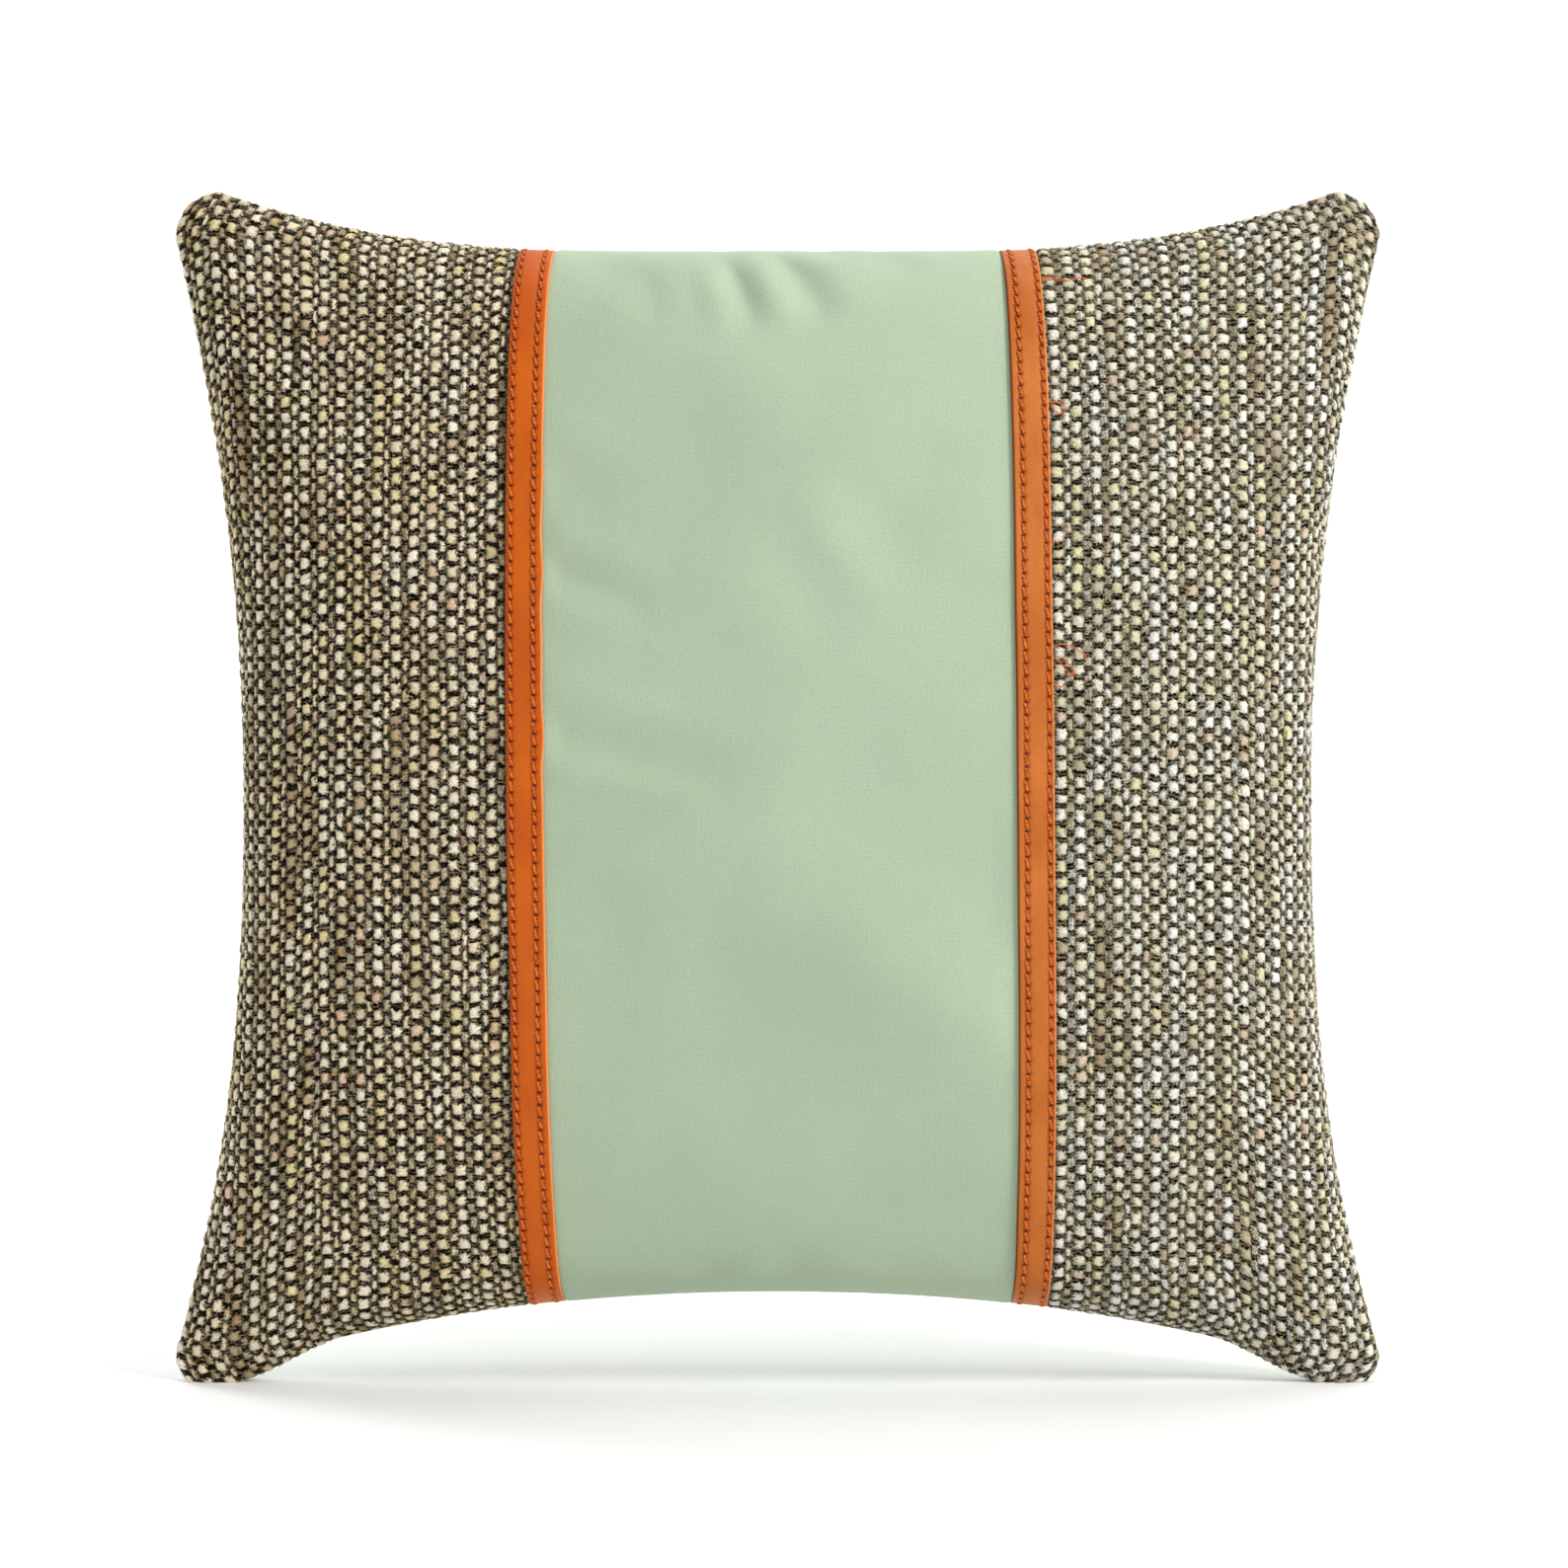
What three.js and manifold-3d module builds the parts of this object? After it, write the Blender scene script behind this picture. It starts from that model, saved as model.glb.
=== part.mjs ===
// Square throw pillow, filled and standing upright. Units are millimetres, +Z is up, the front faces -Y,
// and the origin is on the floor under the middle of the pillow.
//
// The cover's front is three panels side by side with a leather strip over each joint. Its back is one
// panel. A concealed zipper closes the bottom seam, and a separate filled insert sits inside.
//
// Every sheet of the cover is described by cloth coordinates: u runs from -1 at the left seam to +1 at the
// right seam, and v from -1 at the bottom seam to +1 at the top seam.

import * as THREE from 'three';
import { mergeVertices } from 'three/addons/utils/BufferGeometryUtils.js';
import Module from 'manifold-3d';

const wasm = await Module();
wasm.setup();

// ---------------------------------------------------------------- driving dimensions

const HALF_WIDTH = 222.5;          // middle to the side corners
const HEIGHT = 440;                // floor to the top corners
const HALF_THICKNESS = 60;         // seam plane to the crown of one side
const CLOTH_SPREAD = 0.155;        // how much wider the cloth spreads in the middle than at the seams
const WALL_POWER = 7;              // how close to a seam the cloth turns to run straight back to it
const CROWN_POWER = 2.4;           // shape of the crown between two seams
const CROWN_FULLNESS = 0.62;

const SIDE_PULL = 27.6;            // how far the side seams pull in at mid height
const TOP_PULL = 23.2;             // how far the top seam dips in the middle
const SEAM_ARCH = 35.2;            // height of the bottom seam's middle above the floor
const SEAM_RADIUS = 720;           // the bottom seam is an arc of this radius
const EAR_DROP = 7.5;              // how far the bottom corners drop below that arc, before they flatten
const EAR_START = 158;             // distance from the middle where that drop begins
const EAR_RUN = 40;                // and the length it takes
const EAR_INNER = 0.93;            // the pulled-in stretch of a seam ends here, as a share of its half length
const SIDE_CURVE = 1.9;            // shape of the side seams' upper half; higher flares nearer the corner
const LOWER_SIDE_CURVE = 2.3;      // and of their lower half
const TOP_CURVE = 3.3;
const CORNER_ROUND = 0.92;         // the corners are round beyond this u and v

const SEAM_GAP = 0.4;              // half the gap between the front and back at a plain seam
const FABRIC = 1.6;                // thickness of the cover cloth, with its seam allowance
const PANEL_GAP = 0.3;             // each front panel stops this far from the middle of its joint
const CLEARANCE = 0.35;            // gap between sheets that lie on each other

const STRIP_PLACE = 88;            // middle of each leather strip from the pillow's middle line
const STRIP_LEAN = 4;              // both strips stand this much further right at the bottom
const STRIP_WIDTH = 13;
const STRIP_THICKNESS = 1.3;
const STRIP_EDGE = 0.6;            // thickness at the pressed edges
const OUTER_ROW_INSET = 2;         // topstitch row from the tweed edge of a strip
const INNER_ROW_INSET = 3.2;       // topstitch row from the sage edge of a strip
const THREAD = 0.8;                // thickness of every thread
const STRIP_BASE = FABRIC + 2 * CLEARANCE;   // the strips lie this far outside the cloth's inner face
const STRIP_SHOULDER = 0.12;       // share of a strip's width taken by each thinner edge

const SEAM_INSET = 0.035;          // how far inside a seam its lockstitch runs, in u or v
const THREAD_REACH = 0.9;          // a side's lockstitch stops at this share of its half length
const THREAD_START = 176;          // the bottom seam's lockstitch starts this far from the middle

const ZIP_HALF = 160;              // half length of the zipper's groove
const ZIP_TAPER = 14;              // the hems close up over this length past each end
const TAPE_HALF = 150;
const LIP = 4.3;                   // half width of the zipper's groove between the two hems
const LIP_FADE = 40;               // the groove's extra width is gone at this height above the seam
const HEM_DEPTH = 10.5;            // depth of the folded hem behind the seam edge
const COIL_HALF = 146.5;
const STOP_LENGTH = 3.5;
const SLIDER_REST = 132;           // distance of the closed slider from the middle
const SLIDER_LENGTH = 10;
const PIVOT_DEPTH = 1.9;           // the pull tab's pivot, inside the seam edge
const PIN_RADIUS = 0.5;
const PIN_LENGTH = 3.6;
const LUG_LENGTH = 2;
const LUG_WIDTH = 0.8;
const LUG_HEIGHT = 3;
const LUG_ACROSS = 1.9;            // middle of each lug from the seam plane
const LUG_DEPTH = 2.6;             // and its middle inside the seam edge
const TAB_LENGTH = 18;
const TAB_THICKNESS = 1;
const EYE_RADIUS = 1.45;           // the ring at the tab's pivot
const EYE_HOLE = 0.85;
const EYE_WIDTH = 2.4;
const TAB_HOLE = 1;                // radius of the hole at the tab's free end
const TAB_HOLE_INSET = 3;
const STOP_GAP = 0.4;              // between each end stop and the coils

// Sections of the zipper's pieces beside the seam plane, as [across, depth inside the seam edge].
const TAPE_SECTION = [[0.5, 7.5], [3.7, 7.5], [3.7, 14], [2.95, 14], [2.95, 8.3], [0.5, 8.3]];
const COIL_SECTION = [
  [0.4, 5.6], [0.7, 5.3], [2.1, 5.3], [2.4, 5.6], [2.4, 6.9], [2.1, 7.2], [0.7, 7.2], [0.4, 6.9],
];
const STOP_SECTION = [[-2.6, 5], [2.6, 5], [2.6, 7.1], [-2.6, 7.1]];
const SLIDER_SECTION = [
  [-3.6, 3.8], [3.6, 3.8], [3.6, 7], [2.8, 7], [2.8, 4.9], [0.2, 4.9], [0.2, 8.7], [2.6, 8.7],
  [2.6, 9.6], [-2.6, 9.6], [-2.6, 8.7], [-0.2, 8.7], [-0.2, 4.9], [-2.8, 4.9], [-2.8, 7], [-3.6, 7],
];
// The tab's blade, as [along, half width], from its eye to its free end.
const BLADE_PROFILE = [[-1.15, 1.2], [-3.5, 1.2], [-5.5, 2.1], [2 - TAB_LENGTH, 2.1], [-TAB_LENGTH, 1]];

const INSERT_SIDE = 0.95;          // the insert's sides, in the cover's u
const INSERT_TOP = 0.95;           // its top and bottom, in the cover's v
const INSERT_BOTTOM = -0.8;
const TICKING = 0.8;
const TICKING_INSET = 2.5;         // the ticking's crown lies this much lower than the cover's
const FILLING_INSET = 5;           // and the filling's this much lower
const FILL_SHARE = 0.97;

const ROWS = 28;                   // cells from bottom to top on the cover
const PANEL_COLUMNS = 8;
const BACK_COLUMNS = 20;
const INSERT_COLUMNS = 12;
const INSERT_ROWS = 14;
const SEAM_STEPS = 20;             // cells along a side's lockstitch, a tape or a coil
const END_STEPS = 4;               // cells along the short lockstitch at each end of the bottom seam
const ROUND_STEPS = 10;            // cells around a pin or a hole

const FRONT = -1;
const BACK = 1;

// ---------------------------------------------------------------- materials

function material(color, roughness, metalness = 0) {
  return new THREE.MeshStandardMaterial({ color, roughness, metalness });
}

const finishes = {
  tweed: () => material('#b3a98c', 0.95),
  sage: () => material('#b2c8aa', 0.7),
  leather: () => material('#c86a28', 0.45),
  orangeThread: () => material('#f0914a', 0.6),
  seamThread: () => material('#a9b79c', 0.7),
  tape: () => material('#9dae93', 0.85),
  coil: () => material('#a6b59b', 0.4),
  metal: () => material('#9a958a', 0.35, 0.9),
  ticking: () => material('#efece4', 0.9),
  filling: () => material('#f7f6f2', 1),
};

// ---------------------------------------------------------------- the pillow's form

const clamp = THREE.MathUtils.clamp;
const lerp = THREE.MathUtils.lerp;

function smooth(t) {
  const s = clamp(t, 0, 1);
  return s * s * (3 - 2 * s);
}

// How far a seam is pulled in at a share t of its half length, from 1 in the middle to 0 at the corner.
function pulledIn(t, curve) {
  return 1 - Math.min(Math.abs(t) / EAR_INNER, 1) ** curve;
}

function bottomSeam(x) {
  const arc = SEAM_ARCH - (SEAM_RADIUS - Math.sqrt(SEAM_RADIUS ** 2 - x * x));
  return arc - EAR_DROP * smooth((Math.abs(x) - EAR_START) / EAR_RUN);
}

function topSeam(x) {
  return HEIGHT - TOP_PULL * pulledIn(x / HALF_WIDTH, TOP_CURVE);
}

// Cloth beside a seam runs nearly straight back to it, so seen from the front it takes little room there.
function foreshortened(t, share) {
  const spread = CLOTH_SPREAD * share;
  return Math.sign(t) * (Math.abs(t) * (1 + spread) - spread * Math.abs(t) ** WALL_POWER);
}

// Turns a square corner of the cloth into a round one.
function roundCorner(u, v) {
  const a = (Math.abs(u) - CORNER_ROUND) / (1 - CORNER_ROUND);
  const b = (Math.abs(v) - CORNER_ROUND) / (1 - CORNER_ROUND);
  if (a <= 0 || b <= 0) return [u, v];
  const toCloth = (t) => CORNER_ROUND + t * (1 - CORNER_ROUND);
  return [
    Math.sign(u) * toCloth(a * Math.sqrt(1 - b * b / 2)),
    Math.sign(v) * toCloth(b * Math.sqrt(1 - a * a / 2)),
  ];
}

// Where a point of the cloth lies when seen from the front.
function outline(u, v) {
  const [s, t] = roundCorner(u, v);
  const sidePulled = pulledIn(t, t < 0 ? LOWER_SIDE_CURVE : SIDE_CURVE);
  const x = (HALF_WIDTH - SIDE_PULL * sidePulled) * foreshortened(s, sidePulled);
  const across = HALF_WIDTH * s;
  const up = (foreshortened(t, pulledIn(s, SIDE_CURVE)) + 1) / 2;
  return { x, z: lerp(bottomSeam(across), topSeam(across), up) };
}

function crownShare(t) {
  return (1 - Math.min(Math.abs(t), 1) ** CROWN_POWER) ** CROWN_FULLNESS;
}

function crown(u, v) {
  return HALF_THICKNESS * crownShare(u) * crownShare(v);
}

// 1 along the zipper, 0 along the plain stretches of the bottom seam.
function zipperZone(x) {
  return 1 - smooth((Math.abs(x) - ZIP_HALF) / ZIP_TAPER);
}

// Half the gap between front and back: narrow at a plain seam, wide at the zipper's groove.
function lipGap(x, height) {
  return SEAM_GAP + (LIP - SEAM_GAP) * zipperZone(x) * (1 - smooth(height / LIP_FADE));
}

// The inner face of the cover's cloth.
function clothPoint(u, v, side) {
  const { x, z } = outline(u, v);
  const depth = crown(u, v) + lipGap(x, z - bottomSeam(x));
  return new THREE.Vector3(x, side * depth, z);
}

// The cloth's outward direction, taken just inside the seams, where it is always defined.
function clothNormal(u, v, side) {
  const step = 0.001;
  const [s, t] = [clamp(u, 2 * step - 1, 1 - 2 * step), clamp(v, 2 * step - 1, 1 - 2 * step)];
  const along = clothPoint(s + step, t, side).sub(clothPoint(s - step, t, side));
  const up = clothPoint(s, t + step, side).sub(clothPoint(s, t - step, side));
  return along.cross(up).multiplyScalar(-side).normalize();
}

// A point of the cover `lift` outside the cloth's inner face. The bottom corners rest flat on the floor.
function coverPoint(u, v, side, lift) {
  const point = clothPoint(u, v, side).addScaledVector(clothNormal(u, v, side), lift);
  point.z = Math.max(point.z, 0);
  return point;
}

// The cover's inner face, which the folded hem fills out beside the zipper.
function innerPoint(u, v, side) {
  const point = clothPoint(u, v, side);
  const aboveSeam = point.z - bottomSeam(point.x);
  const hem = aboveSeam < HEM_DEPTH ? zipperZone(point.x) : 0;
  point.y -= side * crown(u, v) * hem;
  point.z = Math.max(point.z, FABRIC);
  return point;
}

// ---------------------------------------------------------------- solids from points

// A closed mesh, turned inside out if its faces point inwards.
function closedSolid(points, triangles) {
  let volume = 0;
  for (const [a, b, c] of triangles) {
    volume += points[a].dot(points[b].clone().cross(points[c]));
  }
  const faces = volume > 0 ? triangles : triangles.map(([a, b, c]) => [a, c, b]);
  const geometry = new THREE.BufferGeometry();
  geometry.setAttribute('position', new THREE.Float32BufferAttribute(points.flatMap((p) => p.toArray()), 3));
  geometry.setIndex(faces.flat());
  geometry.computeVertexNormals();
  return geometry;
}

// The solid between two sheets of points over one grid of s and t, each from 0 to 1.
function slab(columns, rows, outer, inner) {
  const points = [];
  const triangles = [];
  const across = columns + 1;
  const layer = across * (rows + 1);
  for (const sheet of [outer, inner]) {
    for (let j = 0; j <= rows; j++) {
      for (let i = 0; i <= columns; i++) points.push(sheet(i / columns, j / rows));
    }
  }
  const quad = (a, b, c, d) => triangles.push([a, b, c], [a, c, d]);
  const at = (i, j) => j * across + i;
  for (let j = 0; j < rows; j++) {
    for (let i = 0; i < columns; i++) {
      quad(at(i, j), at(i + 1, j), at(i + 1, j + 1), at(i, j + 1));
      quad(layer + at(i, j), layer + at(i, j + 1), layer + at(i + 1, j + 1), layer + at(i + 1, j));
    }
  }
  for (let i = 0; i < columns; i++) {
    quad(at(i, 0), layer + at(i, 0), layer + at(i + 1, 0), at(i + 1, 0));
    quad(at(i + 1, rows), layer + at(i + 1, rows), layer + at(i, rows), at(i, rows));
  }
  for (let j = 0; j < rows; j++) {
    quad(at(0, j + 1), layer + at(0, j + 1), layer + at(0, j), at(0, j));
    quad(at(columns, j), layer + at(columns, j), layer + at(columns, j + 1), at(columns, j + 1));
  }
  return closedSolid(points, triangles);
}

// A bar of constant section, a list of [a, b]. `place(t, a, b)` puts a section point at a share t of its
// length.
function bar(steps, section, place) {
  const contour = section.map(([a, b]) => new THREE.Vector2(a, b));
  if (THREE.ShapeUtils.isClockWise(contour)) contour.reverse();
  const sides = contour.length;
  const points = [];
  const triangles = [];
  for (let j = 0; j <= steps; j++) {
    for (const { x, y } of contour) points.push(place(j / steps, x, y));
  }
  for (let j = 0; j < steps; j++) {
    for (let i = 0; i < sides; i++) {
      const [a, b] = [j * sides + i, j * sides + (i + 1) % sides];
      triangles.push([a, b, b + sides], [a, b + sides, a + sides]);
    }
  }
  const last = steps * sides;
  for (const [a, b, c] of THREE.ShapeUtils.triangulateShape(contour, [])) {
    triangles.push([a, c, b], [last + a, last + b, last + c]);
  }
  return closedSolid(points, triangles);
}

function toManifold(geometry) {
  const bare = geometry.clone();
  bare.deleteAttribute('normal');
  bare.deleteAttribute('uv');
  const merged = mergeVertices(bare, 1e-4);
  return new wasm.Manifold(new wasm.Mesh({
    numProp: 3,
    vertProperties: new Float32Array(merged.attributes.position.array),
    triVerts: new Uint32Array(merged.index.array),
  }));
}

function joined(geometries) {
  const [first, ...others] = geometries.map(toManifold);
  const mesh = others.reduce((sum, solid) => sum.add(solid), first).getMesh();
  const geometry = new THREE.BufferGeometry();
  geometry.setAttribute('position', new THREE.Float32BufferAttribute(mesh.vertProperties, 3));
  geometry.setIndex(Array.from(mesh.triVerts));
  geometry.computeVertexNormals();
  return geometry;
}

// ---------------------------------------------------------------- spacing of the grids

// Rows from -1 to 1, closer together near the seams, where the cloth curves most.
const towardSeams = (t) => Math.sin(Math.PI * (t - 0.5));
// From 0 to 1, closer together near 0.
const towardStart = (t) => 1 - Math.cos(Math.PI * t / 2);

// ---------------------------------------------------------------- cover

// The u of a strip's middle line at a height v; both strips lean to the right towards the bottom.
function stripMiddle(sign, v) {
  const lean = STRIP_LEAN * ((1 - v) / 2) ** 2;
  return (sign * STRIP_PLACE + lean) / HALF_WIDTH;
}

function panel(side, columns, uAt) {
  const outer = (s, t) => coverPoint(uAt(s, towardSeams(t)), towardSeams(t), side, FABRIC);
  const inner = (s, t) => innerPoint(uAt(s, towardSeams(t)), towardSeams(t), side);
  return slab(columns, ROWS, outer, inner);
}

function sidePanel(sign) {
  const edge = (v) => stripMiddle(sign, v) + sign * PANEL_GAP / HALF_WIDTH;
  return panel(FRONT, PANEL_COLUMNS, (s, v) => lerp(sign, edge(v), towardStart(s)));
}

function centrePanel() {
  const inset = PANEL_GAP / HALF_WIDTH;
  const uAt = (s, v) => lerp(stripMiddle(-1, v) + inset, stripMiddle(1, v) - inset, s);
  return panel(FRONT, PANEL_COLUMNS, uAt);
}

function backPanel() {
  return panel(BACK, BACK_COLUMNS, (s) => towardSeams(s));
}

function leatherStrip(sign) {
  const shoulders = [0, STRIP_SHOULDER, 0.5, 1 - STRIP_SHOULDER, 1];
  const across = (s) => shoulders[Math.round(s * (shoulders.length - 1))];
  const uAt = (s, v) => stripMiddle(sign, v) + (across(s) - 0.5) * STRIP_WIDTH / HALF_WIDTH;
  const height = (s) => (s === 0 || s === 1 ? STRIP_EDGE : STRIP_THICKNESS);
  const outer = (s, t) => coverPoint(uAt(s, towardSeams(t)), towardSeams(t), FRONT, STRIP_BASE + height(s));
  const inner = (s, t) => coverPoint(uAt(s, towardSeams(t)), towardSeams(t), FRONT, STRIP_BASE);
  return slab(shoulders.length - 1, ROWS, outer, inner);
}

// A row of topstitching on a strip, at a signed distance from the strip's middle line.
function topstitch(sign, offset) {
  const base = STRIP_BASE + STRIP_THICKNESS + CLEARANCE;
  const uAt = (s, v) => stripMiddle(sign, v) + (offset + (s - 0.5) * THREAD) / HALF_WIDTH;
  const outer = (s, t) => coverPoint(uAt(s, towardSeams(t)), towardSeams(t), FRONT, base + THREAD);
  const inner = (s, t) => coverPoint(uAt(s, towardSeams(t)), towardSeams(t), FRONT, base);
  return slab(1, ROWS, outer, inner);
}

const THREAD_SECTION = [[-0.5, -0.5], [0.5, -0.5], [0.5, 0.5], [-0.5, 0.5]]
  .map(([a, b]) => [a * THREAD, b * THREAD]);

// The lockstitch inside a plain seam, along a run of cloth points.
function seamThread(steps, clothAt) {
  return bar(steps, THREAD_SECTION, (t, across, along) => {
    const [u, v] = clothAt(t);
    const { x, z } = outline(u, v);
    const upright = Math.abs(u) > Math.abs(v) ? 1 : 0;
    return new THREE.Vector3(x + upright * along, across, z + (1 - upright) * along);
  });
}

const sideThread = (sign) => seamThread(SEAM_STEPS, (t) => [
  sign * (1 - SEAM_INSET), lerp(-THREAD_REACH, THREAD_REACH, t),
]);
const topThread = () => seamThread(SEAM_STEPS, (t) => [
  lerp(-THREAD_REACH, THREAD_REACH, t), 1 - SEAM_INSET,
]);
const bottomThread = (sign) => seamThread(END_STEPS, (t) => [
  sign * lerp(THREAD_START, HALF_WIDTH * THREAD_REACH, t) / HALF_WIDTH, SEAM_INSET - 1,
]);

// ---------------------------------------------------------------- zipper

const SEAM_CENTRE_Z = SEAM_ARCH - SEAM_RADIUS;

// A point beside the bottom seam's arc: `x` along it, `y` across it and `depth` inside the seam edge.
function zipPoint(x, y, depth) {
  const angle = Math.asin(x / SEAM_RADIUS);
  const reach = SEAM_RADIUS + depth;
  return new THREE.Vector3(reach * Math.sin(angle), y, SEAM_CENTRE_Z + reach * Math.cos(angle));
}

// A piece of constant section along the seam; the section is a list of [across, depth].
function alongSeam(from, to, steps, section) {
  return bar(steps, section, (t, y, depth) => zipPoint(lerp(from, to, t), y, depth));
}

const mirrored = (side, section) => section.map(([y, depth]) => [side * y, depth]);

function zipperTape(side) {
  return alongSeam(-TAPE_HALF, TAPE_HALF, SEAM_STEPS, mirrored(side, TAPE_SECTION));
}

function zipperCoil(side) {
  return alongSeam(-COIL_HALF, COIL_HALF, SEAM_STEPS, mirrored(side, COIL_SECTION));
}

function zipperStop(sign) {
  const start = sign * (COIL_HALF + STOP_GAP);
  return alongSeam(start, start + sign * STOP_LENGTH, 1, STOP_SECTION);
}

// A prism of an outline in the plane of two axes, centred along the third.
function prism(outlinePoints, length) {
  const shape = new THREE.Shape(outlinePoints.map(([a, b]) => new THREE.Vector2(a, b)));
  const geometry = new THREE.ExtrudeGeometry(shape, { depth: length, bevelEnabled: false });
  return geometry.translate(0, 0, -length / 2);
}

// The slider in its own frame: x along the seam, y across it, z into the pillow, 0 at the seam edge.
// Its plates stand before and behind the tapes, on a web that runs between the two coils.
function sliderGeometry() {
  const body = prism(SLIDER_SECTION, SLIDER_LENGTH);
  body.applyMatrix4(new THREE.Matrix4().makeBasis(
    new THREE.Vector3(0, 1, 0), new THREE.Vector3(0, 0, 1), new THREE.Vector3(1, 0, 0),
  ));
  const lugs = [-1, 1].map((side) => new THREE.BoxGeometry(LUG_LENGTH, LUG_WIDTH, LUG_HEIGHT)
    .translate(0, side * LUG_ACROSS, LUG_DEPTH));
  const pin = new THREE.CylinderGeometry(PIN_RADIUS, PIN_RADIUS, PIN_LENGTH, ROUND_STEPS)
    .translate(0, 0, PIVOT_DEPTH);
  return joined([body, ...lugs, pin]);
}

// The pull tab in a frame on its pivot: its eye at the origin, its blade towards -x.
function tabGeometry() {
  const eye = new THREE.Shape().absarc(0, 0, EYE_RADIUS, 0, 2 * Math.PI, false);
  eye.holes.push(new THREE.Path().absarc(0, 0, EYE_HOLE, 0, 2 * Math.PI, true));
  const ring = new THREE.ExtrudeGeometry(eye, {
    depth: EYE_WIDTH, bevelEnabled: false, curveSegments: ROUND_STEPS,
  });
  ring.translate(0, 0, -EYE_WIDTH / 2).rotateX(Math.PI / 2);
  const farSide = BLADE_PROFILE.map(([along, half]) => [along, -half]).reverse();
  const blade = new THREE.Shape([...BLADE_PROFILE, ...farSide].map(([a, b]) => new THREE.Vector2(a, b)));
  blade.holes.push(new THREE.Path().absarc(TAB_HOLE_INSET - TAB_LENGTH, 0, TAB_HOLE, 0, 2 * Math.PI, true));
  const plate = new THREE.ExtrudeGeometry(blade, {
    depth: TAB_THICKNESS, bevelEnabled: false, curveSegments: ROUND_STEPS,
  });
  plate.translate(0, 0, -TAB_THICKNESS / 2);
  return joined([ring, plate]);
}

// A group that stands on the seam edge at `x`, turned to follow the arc.
function onSeam(x) {
  const group = new THREE.Group();
  group.position.copy(zipPoint(x, 0, 0));
  group.rotation.y = Math.asin(x / SEAM_RADIUS);
  return group;
}

// ---------------------------------------------------------------- insert

function insertPoint(s, t, share, side, depth, lift) {
  const u = INSERT_SIDE * share * s;
  const v = lerp(INSERT_BOTTOM, INSERT_TOP, (share * t + 1) / 2);
  const { x, z } = outline(u, v);
  return new THREE.Vector3(x, side * (depth * crownShare(s) * crownShare(t) + lift), z);
}

function ticking(side) {
  const depth = HALF_THICKNESS - TICKING_INSET;
  const sheet = (lift) => (s, t) => insertPoint(towardSeams(s), towardSeams(t), 1, side, depth, lift);
  return slab(INSERT_COLUMNS, INSERT_ROWS, sheet(CLEARANCE + TICKING), sheet(CLEARANCE));
}

function filling() {
  const depth = HALF_THICKNESS - FILLING_INSET;
  const half = (side) => (s, t) => insertPoint(
    towardSeams(s), towardSeams(t), FILL_SHARE, side, depth, 2 * CLEARANCE,
  );
  return slab(INSERT_COLUMNS, INSERT_ROWS, half(FRONT), half(BACK));
}

// ---------------------------------------------------------------- assembly

const pillow = new THREE.Group();

function add(name, geometry, finish, parent = pillow) {
  const mesh = new THREE.Mesh(geometry, finish());
  mesh.name = name;
  parent.add(mesh);
}

add('front_left_panel', sidePanel(-1), finishes.tweed);
add('front_centre_panel', centrePanel(), finishes.sage);
add('front_right_panel', sidePanel(1), finishes.tweed);
add('back_panel', backPanel(), finishes.sage);

for (const [label, sign] of [['left', -1], ['right', 1]]) {
  const outerRow = sign * (STRIP_WIDTH / 2 - OUTER_ROW_INSET);
  const innerRow = -sign * (STRIP_WIDTH / 2 - INNER_ROW_INSET);
  add(`leather_strip_${label}`, leatherStrip(sign), finishes.leather);
  add(`${label}_strip_outer_topstitch`, topstitch(sign, outerRow), finishes.orangeThread);
  add(`${label}_strip_inner_topstitch`, topstitch(sign, innerRow), finishes.orangeThread);
  add(`${label}_seam_thread`, sideThread(sign), finishes.seamThread);
  add(`bottom_${label}_seam_thread`, bottomThread(sign), finishes.seamThread);
}
add('top_seam_thread', topThread(), finishes.seamThread);

for (const [label, side] of [['front', FRONT], ['back', BACK]]) {
  add(`zipper_tape_${label}`, zipperTape(side), finishes.tape);
  add(`zipper_coil_${label}`, zipperCoil(side), finishes.coil);
  add(`insert_${label}_ticking`, ticking(side), finishes.ticking);
}
add('zipper_stop_closed_end', zipperStop(1), finishes.metal);
add('zipper_stop_open_end', zipperStop(-1), finishes.metal);

const sliderPlace = onSeam(SLIDER_REST);
add('zip_slider', sliderGeometry(), finishes.metal, sliderPlace);
const tabPlace = new THREE.Group();
tabPlace.position.z = PIVOT_DEPTH;
add('pull_tab', tabGeometry(), finishes.metal, tabPlace);
sliderPlace.add(tabPlace);
pillow.add(sliderPlace);

add('fibre_filling', filling(), finishes.filling);

export default pillow;
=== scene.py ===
# Square throw pillow, filled and standing upright. Lengths are millimetres until a mesh is built, and
# Blender's own are metres. +Z is up and the front faces -Y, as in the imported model.

import math

import bpy
import numpy as np
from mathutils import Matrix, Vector


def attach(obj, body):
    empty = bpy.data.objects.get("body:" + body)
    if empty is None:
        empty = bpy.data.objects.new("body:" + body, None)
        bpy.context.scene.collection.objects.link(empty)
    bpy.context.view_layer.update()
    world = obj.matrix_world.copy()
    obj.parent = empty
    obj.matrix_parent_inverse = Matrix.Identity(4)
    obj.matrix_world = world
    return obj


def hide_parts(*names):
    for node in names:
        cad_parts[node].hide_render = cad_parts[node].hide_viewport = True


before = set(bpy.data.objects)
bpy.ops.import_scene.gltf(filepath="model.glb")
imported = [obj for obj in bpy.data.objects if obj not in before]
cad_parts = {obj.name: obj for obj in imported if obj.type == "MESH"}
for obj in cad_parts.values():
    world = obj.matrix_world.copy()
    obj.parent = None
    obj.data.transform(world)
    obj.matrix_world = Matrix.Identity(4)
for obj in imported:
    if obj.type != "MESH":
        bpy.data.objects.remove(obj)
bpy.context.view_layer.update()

MM = 0.001

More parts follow.
